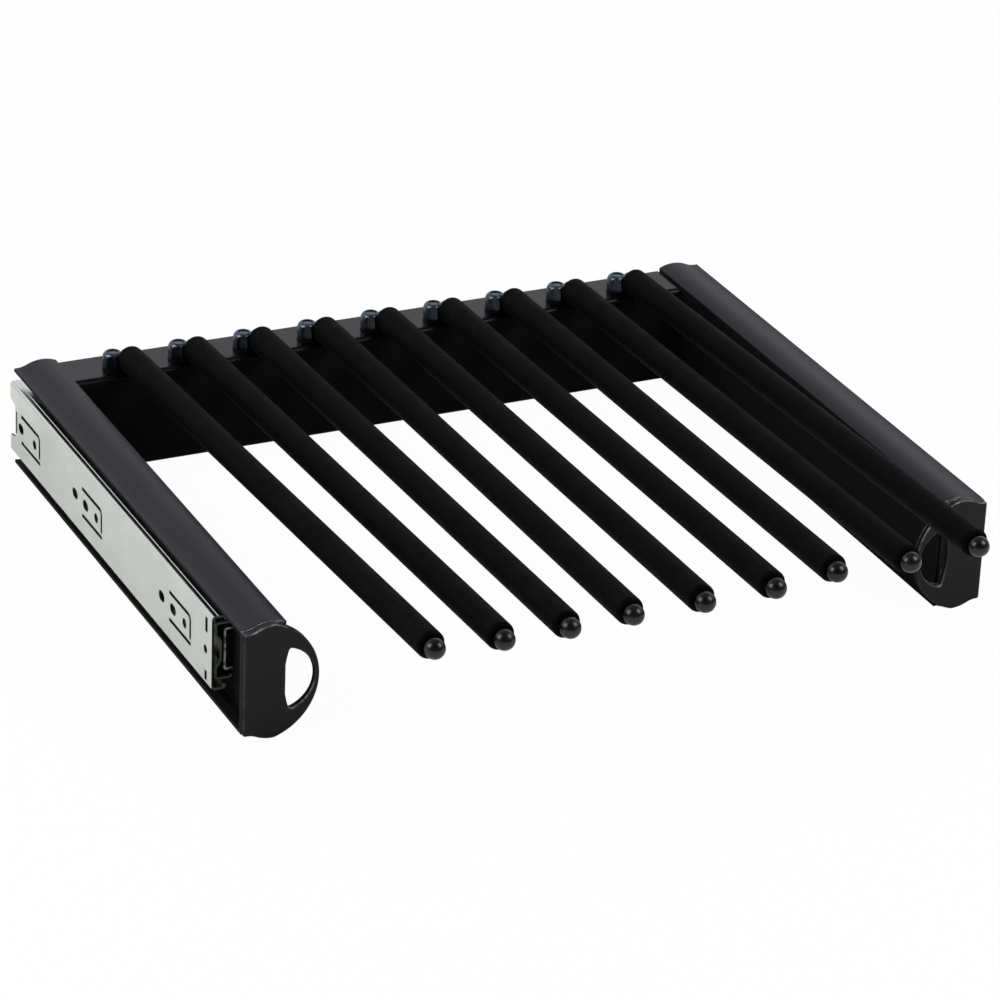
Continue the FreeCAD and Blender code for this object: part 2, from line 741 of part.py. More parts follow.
def end_cap(side, sign):
    """A plate with its finger hole, then a skirt along the rail, a seam and a plug inside it."""
    body = new_body(side + "_end_cap")
    sketch = new_sketch(body, "XZ_Plane")
    draw(sketch, mirrored(cap_outline(), sign))
    draw(sketch, mirrored(finger_hole(), sign))
    plate = pad(body, sketch, sheet_cell("cap_thickness"), reverse=True)
    rim = ["Edge%d" % (k + 1) for k, e in enumerate(plate.Shape.Edges) if e.BoundBox.YMax < 0.01]
    soft = body.newObject("PartDesign::Fillet", side + "_cap_edge")
    soft.Base = (plate, rim)
    soft.setExpression("Radius", sheet_cell("cap_edge_round"))
    doc.recompute()
    depth = dim.cap_thickness
    for share, length in ((1.0, "cap_skirt"), (SEAM_SHARE, "cap_seam")):
        step = new_sketch(body, "XZ_Plane", -depth)
        draw(step, mirrored(drawn_in(cap_skirt(), share), sign))
        pad(body, step, sheet_cell(length), reverse=True)
        depth += getattr(dim, length)
    plug = new_sketch(body, "XZ_Plane", -depth)
    inner, outer = rail_wall_in + dim.rail_wall + CLEARANCE, rail_web - dim.rail_wall - CLEARANCE
    tall = dim.cap_plug_height / 2
    corners = [(inner, -tall), (outer, -tall), (outer, tall), (inner, tall)]
    draw(plug, mirrored(polygon(corners), sign))
    pad(body, plug, sheet_cell("cap_plug"), reverse=True)
    ahead = " - ".join(sheet_cell(a) for a in ("rail_front", "cap_seam", "cap_skirt", "cap_thickness"))
    body.setExpression("Placement.Base.y", ahead)


for side, sign in SIDES:
    side_rail(side, sign)
    end_cap(side, sign)


# Back beam

Rod = collections.namedtuple("Rod", "number bolt lean rise")


def all_rods():
    """The rods from left to right, each with its bolt's place on the beam."""
    first = dim.rod_shift - dim.eye_offset - dim.rod_pitch * (len(ROD_SETTINGS) - 1) / 2
    rods = []
    for k, (lean, extra) in enumerate(ROD_SETTINGS):
        bolt = Vector(first + k * dim.rod_pitch, dim.eye_back, beam_top)
        rods.append(Rod(k + 1, bolt, lean, dim.rod_rise + extra))
    return rods


def back_beam():
    t = dim.beam_sheet
    front, top = beam_front + t / 2, beam_top - t / 2
    line = [(dim.rail_back, top), (front, top), (front, -top), (dim.rail_back, -top)]
    body = new_body("back_beam")
    sketch = new_sketch(body, "YZ_Plane")
    draw(sketch, fold(line, t, 1.5 * t))
    length = "%s - 2 * (%s + %s + %s)" % tuple(sheet_cell(a) for a in (
        "width_over_slides", "rail_inset", "rail_width", "beam_end_gap"))
    pad(body, sketch, length, middle=True)
    holes = new_sketch(body, "XY_Plane", top)
    for rod in all_rods():
        draw_circle(holes, (rod.bolt.x, rod.bolt.y), "bolt_radius", BOLT_PLAY)
    pocket(body, holes, 2 * t)


def beam_plate(side, sign):
    """The plate that closes the beam's end and takes the screws into the rail."""
    t = dim.beam_plate
    x = rail_wall_in - t if sign > 0 else -rail_wall_in
    corner = at(x, beam_front + dim.beam_sheet, -dim.beam_plate_height / 2)
    plate = primitive("Box", side + "_plate", corner, Length=sheet_cell("beam_plate"),
                      Width=sheet_cell("beam_plate_depth"), Height=sheet_cell("beam_plate_height"))
    drills = []
    for z in BEAM_SCREWS:
        place = at(sign * (rail_wall_in - 2 * t), beam_middle, z, along_x(sign))
        expression = "%s + %g" % (sheet_cell("screw_radius"), CLEARANCE)
        drill = primitive("Cylinder", side + "_drill", place, Radius=expression)
        drill.Height = 3 * t
        drills.append(drill)
    holed = cut(side + "_beam_plate", plate, joined("MultiFuse", side + "_drills", drills))
    finished(holed, side + "_beam_plate")


back_beam()
plate_screws = []
for side, sign in SIDES:
    beam_plate(side, sign)
    face = sign * (rail_wall_in - dim.beam_plate)
    for z in BEAM_SCREWS:
        plate_screws.append(screw(side + "_beam_screw", sign, face, beam_middle, z, "beam_screw_shank"))
finished(joined("Compound", "beam_screws", plate_screws), "beam_screws")


# Rods

def rod_frame(rod):
    """The frame of a rod's eye: on the beam's top at the bolt, turned by the rod's lean."""
    return Placement(rod.bolt, Rotation(Vector(0, 0, 1), rod.lean))


def rod_axis(rod):
    """The frame of a rod: its Z runs along the rod from the sleeve's rear end to the tip."""
    root = Vector(dim.eye_offset, dim.sleeve_rear - dim.eye_back, dim.rod_radius + CLEARANCE)
    return rod_frame(rod) * Placement(root, Rotation(Vector(1, 0, 0), 90 - rod.rise))


def rod_core(rod):
    eye, axis = rod_frame(rod), rod_axis(rod)
    name = "rod_core_%d" % rod.number
    stub_start = axis * at(0, 0, -dim.stub_length)
    shaft = primitive("Cylinder", name + "_shaft", axis, Radius=sheet_cell("core_radius"),
                      Height="%s - %s" % (sheet_cell("rod_length"), sheet_cell("ball_stem_length")))
    stub = primitive("Cylinder", name + "_stub", stub_start, Radius=sheet_cell("stub_radius"),
                     Height="%s + %s" % (sheet_cell("stub_length"), sheet_cell("core_radius")))
    dome = primitive("Sphere", name + "_dome", stub_start, Radius=sheet_cell("stub_radius"))
    disc = primitive("Cylinder", name + "_disc", eye, Radius=sheet_cell("eye_radius"),
                     Height=sheet_cell("eye_thickness"))
    rear = dim.sleeve_rear - dim.eye_back + SLEEVE_GAP
    lug = primitive("Box", name + "_lug", eye * at(0, rear, 0), Height=sheet_cell("eye_thickness"),
                    Length="%s + %s / 2" % (sheet_cell("eye_offset"), sheet_cell("riser_width")),
                    Width=sheet_cell("lug_width"))
    riser = primitive("Box", name + "_riser", eye * at(dim.eye_offset - dim.riser_width / 2, rear, 0),
                      Height=sheet_cell("rod_radius"), Length=sheet_cell("riser_width"),
                      Width=sheet_cell("lug_width"))
    whole = joined("MultiFuse", name + "_whole", [shaft, stub, dome, disc, lug, riser])
    wider = "%s + %g" % (sheet_cell("bolt_radius"), BOLT_PLAY)
    drill = primitive("Cylinder", name + "_drill", eye, Radius=wider, Height=sheet_cell("eye_thickness"))
    finished(cut(name, whole, drill), name)


def turned_piece(label, place, outline):
    """A turned piece on a rod: the outline holds radius and place along the rod."""
    body = new_body(label)
    sketch = new_sketch(body, "XZ_Plane")
    draw(sketch, outline)
    revolve(body, sketch)
    body.Placement = place


def rod_sleeve(rod):
    r, bore = dim.rod_radius, dim.core_radius + CLEARANCE
    length = dim.rod_length - dim.ball_stand
    rear_round, front_round = dim.sleeve_rear_round, dim.sleeve_front_round
    seat, seat_end = dim.sleeve_seat_radius, length - dim.sleeve_seat_depth
    rear = quarter((r - rear_round, rear_round), rear_round, 270)
    front = quarter((r - front_round, length - front_round), front_round, 0)
    corners = [(seat, length), (seat, seat_end), (bore, seat_end), (bore, 0)]
    outline = [((bore, 0), rear[0]), rear, (rear[-1], front[0]), front, (front[-1], corners[0])]
    outline += list(zip(corners, corners[1:]))
    turned_piece("rod_sleeve_%d" % rod.number, rod_axis(rod), outline)


def rod_ball(rod):
    """A ball on a short stem that meets the end of the core."""
    r, stem, tail = dim.ball_radius, dim.ball_stem_radius, -dim.ball_stem_length
    neck = -math.sqrt(r ** 2 - stem ** 2)
    outline = [((0, tail), (stem, tail)), ((stem, tail), (stem, neck)),
               ((stem, neck), (r, 0), (0, r)), ((0, r), (0, tail))]
    turned_piece("rod_ball_%d" % rod.number, rod_axis(rod) * at(0, 0, dim.rod_length), outline)


def lock_nut(rod):
    """A hexagon with a round collar above it, bored for the bolt."""
    foot = rod_frame(rod) * at(0, 0, dim.eye_thickness)
    name = "rod_nut_%d" % rod.number
    corner = "%s / sqrt(3)" % sheet_cell("nut_flats")
    turned = foot * Placement(Vector(), Rotation(Vector(0, 0, 1), 30))
    hexagon = primitive("Prism", name + "_hexagon", turned, Circumradius=corner,
                        Height=sheet_cell("nut_hexagon_height"))
    collar = primitive("Cylinder", name + "_collar", foot, Radius=sheet_cell("nut_collar_radius"),
                       Height=sheet_cell("nut_height"))
    doc.recompute()
    soft = doc.addObject("Part::Fillet", name + "_soft")
    soft.Base = collar
    rims = [k + 1 for k, e in enumerate(collar.Shape.Edges)
            if e.Closed and e.BoundBox.ZMin > foot.Base.z + dim.nut_hexagon_height]
    soft.Edges = [(k, dim.nut_collar_round, dim.nut_collar_round) for k in rims]
    whole = joined("MultiFuse", name + "_whole", [hexagon, soft])
    wider = "%s + %g" % (sheet_cell("bolt_radius"), CLEARANCE)
    drill = primitive("Cylinder", name + "_drill", foot, Radius=wider, Height=sheet_cell("nut_height"))
    return cut(name, whole, drill)


def rod_bolt(rod):
    """A hexagon bolt from below, with its head under the beam's top; it ends just below the nut's top."""
    under = Placement(rod.bolt, Rotation(Vector(0, 0, 1), 30)) * at(0, 0, -dim.beam_sheet)
    name = "rod_bolt_%d" % rod.number
    head = primitive("Prism", name + "_head", under * at(0, 0, -dim.bolt_head_height),
                     Circumradius="%s / sqrt(3)" % sheet_cell("nut_flats"),
                     Height=sheet_cell("bolt_head_height"))
    stack = " + ".join(sheet_cell(a) for a in ("beam_sheet", "eye_thickness", "nut_height"))
    shank = primitive("Cylinder", name + "_shank", under, Radius=sheet_cell("bolt_radius"),
                      Height="%s - %g" % (stack, 2 * BOLT_PLAY))
    return joined("MultiFuse", name, [head, shank])


nuts, bolts = [], []
for rod in all_rods():
    rod_core(rod)
    rod_sleeve(rod)
    rod_ball(rod)
    nuts.append(lock_nut(rod))
    bolts.append(rod_bolt(rod))
finished(joined("Compound", "rod_nuts", nuts), "rod_nuts")
finished(joined("Compound", "rod_bolts", bolts), "rod_bolts")

doc.recompute()

for obj in doc.Objects:
    if "Invalid" in obj.State or "Error" in obj.State:
        raise RuntimeError("%s did not build: %s" % (obj.Label, obj.State))
for obj in PARTS:
    if obj.Shape.isNull() or not obj.Shape.isValid() or not obj.Shape.Solids:
        raise RuntimeError("%s has no valid solid" % obj.Label)

os.makedirs("parts", exist_ok=True)
for obj in PARTS:
    obj.Shape.exportStep(os.path.join("parts", obj.Label + ".step"))

print("%d sub-parts" % len(PARTS))
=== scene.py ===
import math

import bmesh
import bpy
from bpy.props import FloatProperty, FloatVectorProperty, IntProperty, PointerProperty
from mathutils import Matrix, Vector


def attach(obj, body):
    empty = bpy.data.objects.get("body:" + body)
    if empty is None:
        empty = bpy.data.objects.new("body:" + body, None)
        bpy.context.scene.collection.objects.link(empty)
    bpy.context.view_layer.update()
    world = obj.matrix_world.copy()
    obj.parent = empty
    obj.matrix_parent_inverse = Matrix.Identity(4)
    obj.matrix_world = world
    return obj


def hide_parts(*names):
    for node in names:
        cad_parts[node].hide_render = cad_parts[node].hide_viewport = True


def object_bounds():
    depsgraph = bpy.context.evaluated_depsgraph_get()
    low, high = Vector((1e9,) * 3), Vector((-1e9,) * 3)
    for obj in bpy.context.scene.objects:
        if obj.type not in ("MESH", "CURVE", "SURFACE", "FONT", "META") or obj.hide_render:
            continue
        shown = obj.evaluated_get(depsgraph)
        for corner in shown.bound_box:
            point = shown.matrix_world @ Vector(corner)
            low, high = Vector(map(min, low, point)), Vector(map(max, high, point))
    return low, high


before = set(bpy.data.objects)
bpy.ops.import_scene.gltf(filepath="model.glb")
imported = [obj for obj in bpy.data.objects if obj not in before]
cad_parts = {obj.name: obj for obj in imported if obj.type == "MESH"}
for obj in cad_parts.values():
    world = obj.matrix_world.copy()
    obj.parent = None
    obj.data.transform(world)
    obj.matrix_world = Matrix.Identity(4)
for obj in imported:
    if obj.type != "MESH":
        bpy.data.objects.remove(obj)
CAD_BOX = [list(corner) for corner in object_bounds()]

bl_info = {
    "name": "Trouser rack finish",
    "version": (1, 0, 0),
    "blender": (4, 5, 0),
    "location": "View3D > Sidebar > Trouser Rack",
    "description": "Models the small hardware of a pull-out trouser rack and gives every piece its finish",
    "category": "Object",
}

RODS = range(1, 10)
SIDES = ("left", "right")
UP = Vector((0, 0, 1))
WHITE = (1.0, 1.0, 1.0, 1.0)

# Finding faces and fasteners: distances in metres, and the least Z of a level face's normal.
TINY = 1e-6
LUMP_GAP = 0.012
LEVEL = 0.9

# Hexagons: shares of the flats and of the corners' radius, the crown's first angle in degrees, its steps.
FACE_SHARE = 0.97
BLANK_SHARE = 1.01
CROWN_START = 30
CROWN_STEPS = 6

# Threads, in pitches: depth, the bolt's plain stretch and run-out, and the screw's taper and plain neck.
THREAD_DEPTH = 0.3
BOLT_PLAIN = 2
BOLT_RUN_OUT = 0.6
SCREW_TAPER = 1.5
SCREW_NECK = 0.5

# Shares of a shank's radius: the bolt's end, and the screw's tip, the top of its point and its neck.
BOLT_END = 0.95
TIP_SHARE = 0.25
POINT_SHARE = 0.8
NECK_SHARE = 0.9

# Pan heads: shares of the head's height and radius, the rounding's steps in degrees and the recess's taper.
RIM_SHARE = 0.45
ROUND_SHARE = 0.45
FLAT_SHARE = 0.5
ROUND_STEPS = (22.5, 45, 67.5)
RECESS_TAPER = 0.55

# Finishes: how much lighter the coat is on top (painted light) and at its edges (painted highlights), its
# shine, and the depth of a bump.
COAT_TOP_PAINTED_LIGHT = 12.0
COAT_EDGE_HIGHLIGHT = 25.0
COAT_SPECULAR = 0.22
RELIEF = 0.0001
POLISH = 0.14
GREY_TOP_METALLIC = 0.8
COOL_SHEEN = (0.72, 0.70, 0.82, 1.0)
STREAK_STRETCH = (1.0, 0.012, 1.0)

# Zinc plating: where masks of the cabinet members' webs and of the inner members fade, in X and in Z.
WEB_SIDE = (0.2123, 0.2127)
WEB_TOP = (0.0196, 0.0192)
INNER_SIDE = (0.2075, 0.2068)
INNER_TOP = (0.0128, 0.0122)

# Zinc plating: the scale of the painted glints on cut ends, how strongly lines show, and how much metal the
# cut ends lose.
PAINTED_GLINT_SCALE = 350.0
LINE_SHARE = 0.25
CUT_END_NON_METAL = 0.7

# Studio: the directions to the softboxes lie along the camera's right, up and backward axes.
SOFTBOXES = {"softbox_left": (-0.74, 0.40, 0.54), "softbox_right": (0.71, 0.49, 0.51)}
SENSOR_WIDTH = 36.0
CLIP_START = 0.05
CLIP_END = 50.0
FLOOR_COLOUR = (0.9, 0.9, 0.9, 1.0)
FLOOR_GLOW = 0.97
ROOM_COLOUR = (0.93, 0.94, 1.0, 1.0)


def length(name, description, default):
    return FloatProperty(name=name, description=description, default=default, min=0.0, precision=5,
                         unit="LENGTH")


def colour(name, description, default):
    return FloatVectorProperty(name=name, description=description, default=default, size=3, min=0.0, max=1.0,
                               subtype="COLOR")


def angle(name, description, degrees):
    return FloatProperty(name=name, description=description, default=math.radians(degrees), subtype="ANGLE")


class RackHardware(bpy.types.PropertyGroup):
    """Sizes of the nuts, bolts and screws."""

    flats: length("Across flats", "Width of a nut or bolt head between opposite flats", 0.010)
    chamfer: length("Chamfer", "Height of the turned chamfer on a hexagon's corners", 0.0008)
    nut_crown: length("Nut crown", "Height of the rounded top that turns off a nut's corners", 0.0028)
    crown_radius: length("Crown radius", "Radius of the flat ring on top of a nut", 0.0034)
    bore_radius: length("Bore radius", "Radius of a nut's bore", 0.00303)
    bolt_radius: length("Bolt radius", "Outer radius of a bolt's thread", 0.003)
    bolt_head: length("Bolt head", "Height of a bolt's head", 0.004)
    bolt_pitch: length("Bolt pitch", "Distance between a bolt's thread crests", 0.001)
    screw_head_radius: length("Screw head radius", "Radius of a pan head", 0.0036)
    screw_head: length("Screw head", "Height of a pan head", 0.002)
    screw_radius: length("Screw radius", "Outer radius of a screw's thread", 0.002)
    screw_pitch: length("Screw pitch", "Distance between a screw's thread crests", 0.0009)
    recess_width: length("Recess width", "Width of a cross recess's arms", 0.0008)
    recess_span: length("Recess span", "Length of a cross recess's arms", 0.0038)
    recess_depth: length("Recess depth", "Depth of a cross recess", 0.0013)
    sides: IntProperty(name="Sides", description="Sides of a turned piece", default=48, min=12, max=128)


class RackColours(bpy.types.PropertyGroup):
    """Base colours of the finishes."""

    coat: colour("Coat", "Satin black coat of the rails and the beam", (0.0014, 0.00135, 0.0018))
    plastic: colour("Plastic", "Moulded black plastic of the end caps", (0.0062, 0.0058, 0.0080))
    flock: colour("Flock", "Matte black flock of the rods", (0.0011, 0.0011, 0.0014))
    tip: colour("Tip", "Gloss black of the rods' balls", (0.0035, 0.0035, 0.0042))
    # A light grey that the caps' upper edges take as a painted highlight.
    cap_edge_highlight: colour("Painted edge highlight", "Painted highlight along the caps' upper edges",
                   (0.70, 0.68, 0.69))
    zinc: colour("Zinc", "Zinc plating of the slides", (0.75, 0.785, 0.725))
    steel: colour("Steel", "Plain steel of the ball cages", (0.50, 0.51, 0.52))
    black_steel: colour("Black steel", "Blackened steel of the nuts and bolts", (0.065, 0.080, 0.100))


class RackStudio(bpy.types.PropertyGroup):
    """The camera and the light."""

    azimuth: angle("Azimuth", "Camera's turn round the rack, from straight in front", -26.04)
    elevation: angle("Elevation", "Camera's height above the horizon", 26.18)
    roll: angle("Roll", "Camera's turn about its own axis", 2.40)
    eye: FloatVectorProperty(name="Eye", description="Camera's place", default=(-0.9826, -1.8601, 1.0961),
                             size=3, subtype="TRANSLATION", unit="LENGTH")
    lens: FloatProperty(name="Lens", description="Focal length on a 36 mm sensor", default=165.87,
                        unit="CAMERA")
    softbox_size: length("Softbox size", "Side of each square softbox", 0.7)
    softbox_distance: length("Softbox distance", "From the middle of the rack to each softbox", 1.4)
    softbox_power: FloatProperty(name="Softbox power", description="Power of each softbox", default=8.0,
                                 min=0.0, unit="POWER")
    fill: FloatProperty(name="Fill", description="Strength of the even light from all round", default=0.42,
                        min=0.0)
    floor_size: length("Floor size", "Side of the square floor", 14.0)


# Modelling

def deselect():
    bpy.ops.object.select_all(action="DESELECT")


def start_piece(name):
    """Takes the primitive that was just added as a piece, with its place in its mesh."""
    piece = bpy.context.object
    piece.name = name
    piece.data.name = name
    bpy.ops.object.transform_apply(location=True, rotation=True, scale=True)
    return piece


def only(piece):
    deselect()
    piece.select_set(True)
    bpy.context.view_layer.objects.active = piece


def pick(piece, test):
    """In edit mode, selects the faces whose centre and normal pass a test."""
    bpy.ops.mesh.select_mode(type="FACE")
    bpy.ops.mesh.select_all(action="DESELECT")
    mesh = bmesh.from_edit_mesh(piece.data)
    found = [face for face in mesh.faces if test(face.calc_center_median(), face.normal)]
    if not found:
        raise RuntimeError(piece.name + ": no face to work on")
    for face in found:
        face.select_set(True)
    bmesh.update_edit_mesh(piece.data)


def turn_on(piece, profile):
    """Goes on turning from the flat top face: each further ring is extruded and scaled from the last."""
    only(piece)
    top = max(v.co.z for v in piece.data.vertices)
    bpy.ops.object.mode_set(mode="EDIT")
    pick(piece, lambda centre, normal: centre.z > top - TINY and normal.z > LEVEL)
    for (radius, z), (next_radius, next_z) in zip(profile, profile[1:]):
        bpy.ops.mesh.extrude_region_move(TRANSFORM_OT_translate={"value": (0, 0, next_z - z)})
        share = next_radius / radius
        bpy.ops.transform.resize(value=(share, share, 1), center_override=(0, 0, next_z))
    bpy.ops.mesh.select_all(action="SELECT")
    bpy.ops.mesh.normals_make_consistent(inside=False)
    bpy.ops.object.mode_set(mode="OBJECT")


def turned(name, profile, sides):
    """A turned piece along Z, from a profile of radii and heights."""
    (radius, z), (next_radius, next_z) = profile[:2]
    deselect()
    bpy.ops.mesh.primitive_cone_add(vertices=sides, radius1=radius, radius2=next_radius, depth=next_z - z,
                                    location=(0, 0, (z + next_z) / 2))
    piece = start_piece(name)
    if len(profile) > 2:
        turn_on(piece, profile[1:])
    return piece


def shaped_by(piece, tool, operation):
    """Cuts a piece with a tool or keeps what both share, and removes the tool."""
    only(piece)
    change = piece.modifiers.new("shape", "BOOLEAN")
    change.operation = operation
    change.solver = "EXACT"
    change.object = tool
    bpy.ops.object.modifier_apply(modifier=change.name)
    bpy.data.objects.remove(tool)
    return piece


def blank_radius(hardware):
    """The radius of a hexagon's turned blank, just outside its corners."""
    return BLANK_SHARE * hardware.flats / math.sqrt(3)


def hexagon(name, hardware, high, crown):
    """A hexagon from Z 0 up; a chamfer below and a crown's profile above turn off its corners."""
    foot = [(FACE_SHARE * hardware.flats / 2, 0.0), (blank_radius(hardware), hardware.chamfer)]
    blank = turned(name + "_blank", foot + crown, hardware.sides)
    deselect()
    bpy.ops.mesh.primitive_cylinder_add(vertices=6, radius=hardware.flats / math.sqrt(3), depth=2 * high,
                                        location=(0, 0, high / 2))
    piece = start_piece(name)
    return shaped_by(piece, blank, "INTERSECT")


def thread(crest, pitch, low, high):
    """The profile of a threaded stretch: a root and a crest for each pitch."""
    root = crest - THREAD_DEPTH * pitch
    turns = int((high - low) / pitch)
    profile = []
    for k in range(turns):
        profile += [(root, low + k * pitch), (crest, low + (k + 0.5) * pitch)]
    return profile + [(root, low + turns * pitch)]


def lumps(points, axes, gap):
    """Splits points into separate lumps along each axis in turn, as lists of points."""
    if not axes:
        return [points]
    axis = axes[0]
    ordered = sorted(points, key=lambda p: p[axis])
    runs = [[ordered[0]]]
    for before, point in zip(ordered, ordered[1:]):
        if point[axis] - before[axis] > gap:
            runs.append([])
        runs[-1].append(point)
    return [lump for run in runs for lump in lumps(run, axes[1:], gap)]


def spots(node, axes, count):
    """The lowest and highest corners of each separate lump of a node."""
    points = [v.co.copy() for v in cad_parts[node].data.vertices]
    found = lumps(points, axes, LUMP_GAP)
    if len(found) != count:
        raise RuntimeError("%s has %d lumps and not %d" % (node, len(found), count))
    return [(Vector(map(min, *lump)), Vector(map(max, *lump))) for lump in found]


def set_out(master, name, places):
    """Copies a piece to each place, each copy with its own mesh, and joins the copies into one piece."""
    copies = []
    for place in places:
        copy = master.copy()
        copy.data = master.data.copy()
        copy.data.transform(place)
        bpy.context.collection.objects.link(copy)
        copies.append(copy)
    bpy.data.objects.remove(master)
    deselect()
    for copy in copies:
        copy.select_set(True)
    bpy.context.view_layer.objects.active = copies[0]
    bpy.ops.object.join()
    whole = bpy.context.object
    whole.name = name
    whole.data.name = name
    return whole


def smooth(piece, degrees=35):
    only(piece)
    bpy.ops.object.shade_smooth_by_angle(angle=math.radians(degrees))


def stands_for(piece, node, material):
    """Gives a finished piece its material and puts it in the place of a CAD node on the rack."""
    piece.data.materials.append(material)
    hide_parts(node)
    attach(piece, "rack")


def dress(nodes, material):
    """Gives CAD nodes a finish."""
    for name in nodes:
        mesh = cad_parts[name].data
        mesh.materials.clear()
        mesh.materials.append(material)


def both_sides(*names):
    return [side + "_" + name for side in SIDES for name in names]


def of_rods(name):
    return ["%s_%d" % (name, k) for k in RODS]


# Materials

class Tree:
    """A node tree that is being built."""

    columns = 6
    column_width = 240
    row_height = 320

    def __init__(self, tree):
        self.tree = tree
        self.tree.nodes.clear()

    def add(self, kind, inputs=None, **settings):
        """Adds a node with its settings; an input gets a value, or a socket to be joined to."""
        node = self.tree.nodes.new(kind)
        row, column = divmod(len(self.tree.nodes) - 1, self.columns)
        node.location = (self.column_width * column, -self.row_height * row)
        for key, value in settings.items():
            setattr(node, key, value)
        for key, value in (inputs or {}).items():
            self.feed(node.inputs[key], value)
        return node

    def feed(self, socket, value):
        if isinstance(value, bpy.types.NodeSocket):
            self.tree.links.new(value, socket)
        else:
            socket.default_value = value

    def noise(self, vector, scale, detail=2.0, roughness=0.5):
        node = self.add("ShaderNodeTexNoise", {"Vector": vector, "Scale": scale, "Detail": detail,
                                               "Roughness": roughness})
        return node.outputs["Fac"]

    def stretched(self, vector, scale):
        node = self.add("ShaderNodeMapping", {"Vector": vector, "Scale": scale})
        return node.outputs["Vector"]

    def ranged(self, value, low, high, start=0.0, end=1.0):
        """Turns a value from low to high into one from start to end."""
        node = self.add("ShaderNodeMapRange", {"Value": value, "From Min": low, "From Max": high,
                                               "To Min": start, "To Max": end})
        return node.outputs["Result"]

    def maths(self, operation, first, second):
        node = self.add("ShaderNodeMath", {0: first, 1: second}, operation=operation)
        return node.outputs["Value"]

    def mixed(self, share, first, second):
        """A colour between two, by a share."""
        node = self.add("ShaderNodeMix", {"Factor": share}, data_type="RGBA")
        colours = [s for s in node.inputs if s.type == "RGBA"]
        self.feed(colours[0], first)
        self.feed(colours[1], second)
        return next(s for s in node.outputs if s.type == "RGBA")

    def blended(self, share, first, second):
        """A shader between two, by a share."""
        node = self.add("ShaderNodeMixShader", {0: share, 1: first, 2: second})
        return node.outputs["Shader"]

    def group(self, tree, **inputs):
        node = self.add("ShaderNodeGroup", node_tree=tree)
        for key, value in inputs.items():
            self.feed(node.inputs[key], value)
        return node


class Finish(Tree):
    """A material that is being built, with one shader."""

    def __init__(self, name):
        self.material = bpy.data.materials.new(name)
        self.material.use_nodes = True
        super().__init__(self.material.node_tree)
        output = self.add("ShaderNodeOutputMaterial")
        self.shader = self.add("ShaderNodeBsdfPrincipled")
        self.tree.links.new(self.shader.outputs["BSDF"], output.inputs["Surface"])
        place = self.add("ShaderNodeTexCoord")
        self.place, self.normal = place.outputs["Object"], place.outputs["Normal"]

    def set(self, **values):
        """Sets the shader's inputs; a name's underscores stand for spaces."""
        for key, value in values.items():
            self.feed(self.shader.inputs[key.replace("_", " ")], value)

    def along(self, vector, axis):
        """One part of a vector."""
        return self.add("ShaderNodeSeparateXYZ", {"Vector": vector}).outputs[axis]

    def part(self, vector, axis):
        """The size of one part of a vector, without its sign."""
        return self.maths("ABSOLUTE", self.along(vector, axis), 0.0)

    def both(self, first, second):
        """The overlap of two masks."""
        return self.maths("MULTIPLY", first, second)

    def raised(self, value, mask, amount):
        """A value with an amount added under a mask."""
        return self.maths("ADD", value, self.maths("MULTIPLY", mask, amount))

    def between(self, mask, low, high):
        """A value between two, by a mask."""
        return self.ranged(mask, 0.0, 1.0, low, high)

    def upright(self):
        """A mask of the upright walls, which stay duller than the faces above; some finishes darken them as
        painted shade.
        """
        return self.ranged(self.part(self.normal, "Z"), low=0.7, high=0.3)

    def skin(self, grain, mottle):
        """Grain and mottling at the given scales."""
        inputs = {"Vector": self.place, "Grain Scale": grain, "Mottle Scale": mottle}
        return self.group(grain_group(), **inputs).outputs

    def streaks(self, across):
        """Lengthwise lines at the given scale across them."""
        return self.group(streak_group(), Vector=self.place, Across=across).outputs["Streaks"]

    def edges(self, radius):
        """A mask of the edges, as wide as the given radius, where finishes show wear and paint highlights."""
        return self.group(edge_group(), Vector=self.place, Radius=radius).outputs["Edge"]

    def mottled(self, skin, value, dark, light):
        """A colour that the mottling varies between a darker and a lighter share of it."""
        return self.mixed(skin["Mottle"], shade(value, dark), shade(value, light))

    def bump(self, height, strength, distance=RELIEF):
        node = self.add("ShaderNodeBump", {"Height": height, "Strength": strength, "Distance": distance})
        self.set(Normal=node.outputs["Normal"])


def new_group(name, inputs, outputs):
    """An empty node group with named number inputs and outputs; it also takes a Vector."""
    tree = bpy.data.node_groups.new(name, "ShaderNodeTree")
    tree.interface.new_socket("Vector", in_out="INPUT", socket_type="NodeSocketVector")
    for key, default in inputs.items():
        socket = tree.interface.new_socket(key, in_out="INPUT", socket_type="NodeSocketFloat")
        socket.default_value = default
    for key in outputs:
        tree.interface.new_socket(key, in_out="OUTPUT", socket_type="NodeSocketFloat")
    build = Tree(tree)
    return build, build.add("NodeGroupInput").outputs, build.add("NodeGroupOutput").inputs


def once(name):
    """A node group that is already there, or None."""
    return bpy.data.node_groups.get(name)


def grain_group():
    """Fine grain over soft mottling, as on moulded or coated skins."""
    name = "Grain and mottle"
    if once(name):
        return once(name)
    build, given, out = new_group(name, {"Grain Scale": 2000.0, "Mottle Scale": 40.0}, ("Grain", "Mottle"))
    fine = build.noise(given["Vector"], given["Grain Scale"], detail=3.0, roughness=0.6)
    soft = build.noise(given["Vector"], given["Mottle Scale"], detail=4.0, roughness=0.55)
    build.feed(out["Grain"], fine)
    build.feed(out["Mottle"], build.ranged(soft, low=0.3, high=0.7))
    return build.tree


def streak_group():
    """Fine lines along the length, as drawn or rolled metal has."""
    name = "Lengthwise streaks"
    if once(name):
        return once(name)
    build, given, out = new_group(name, {"Across": 900.0}, ("Streaks",))
    lengthwise = build.stretched(given["Vector"], STREAK_STRETCH)
    lines = build.noise(lengthwise, given["Across"], detail=2.0, roughness=0.7)
    build.feed(out["Streaks"], build.ranged(lines, low=0.25, high=0.75))
    return build.tree


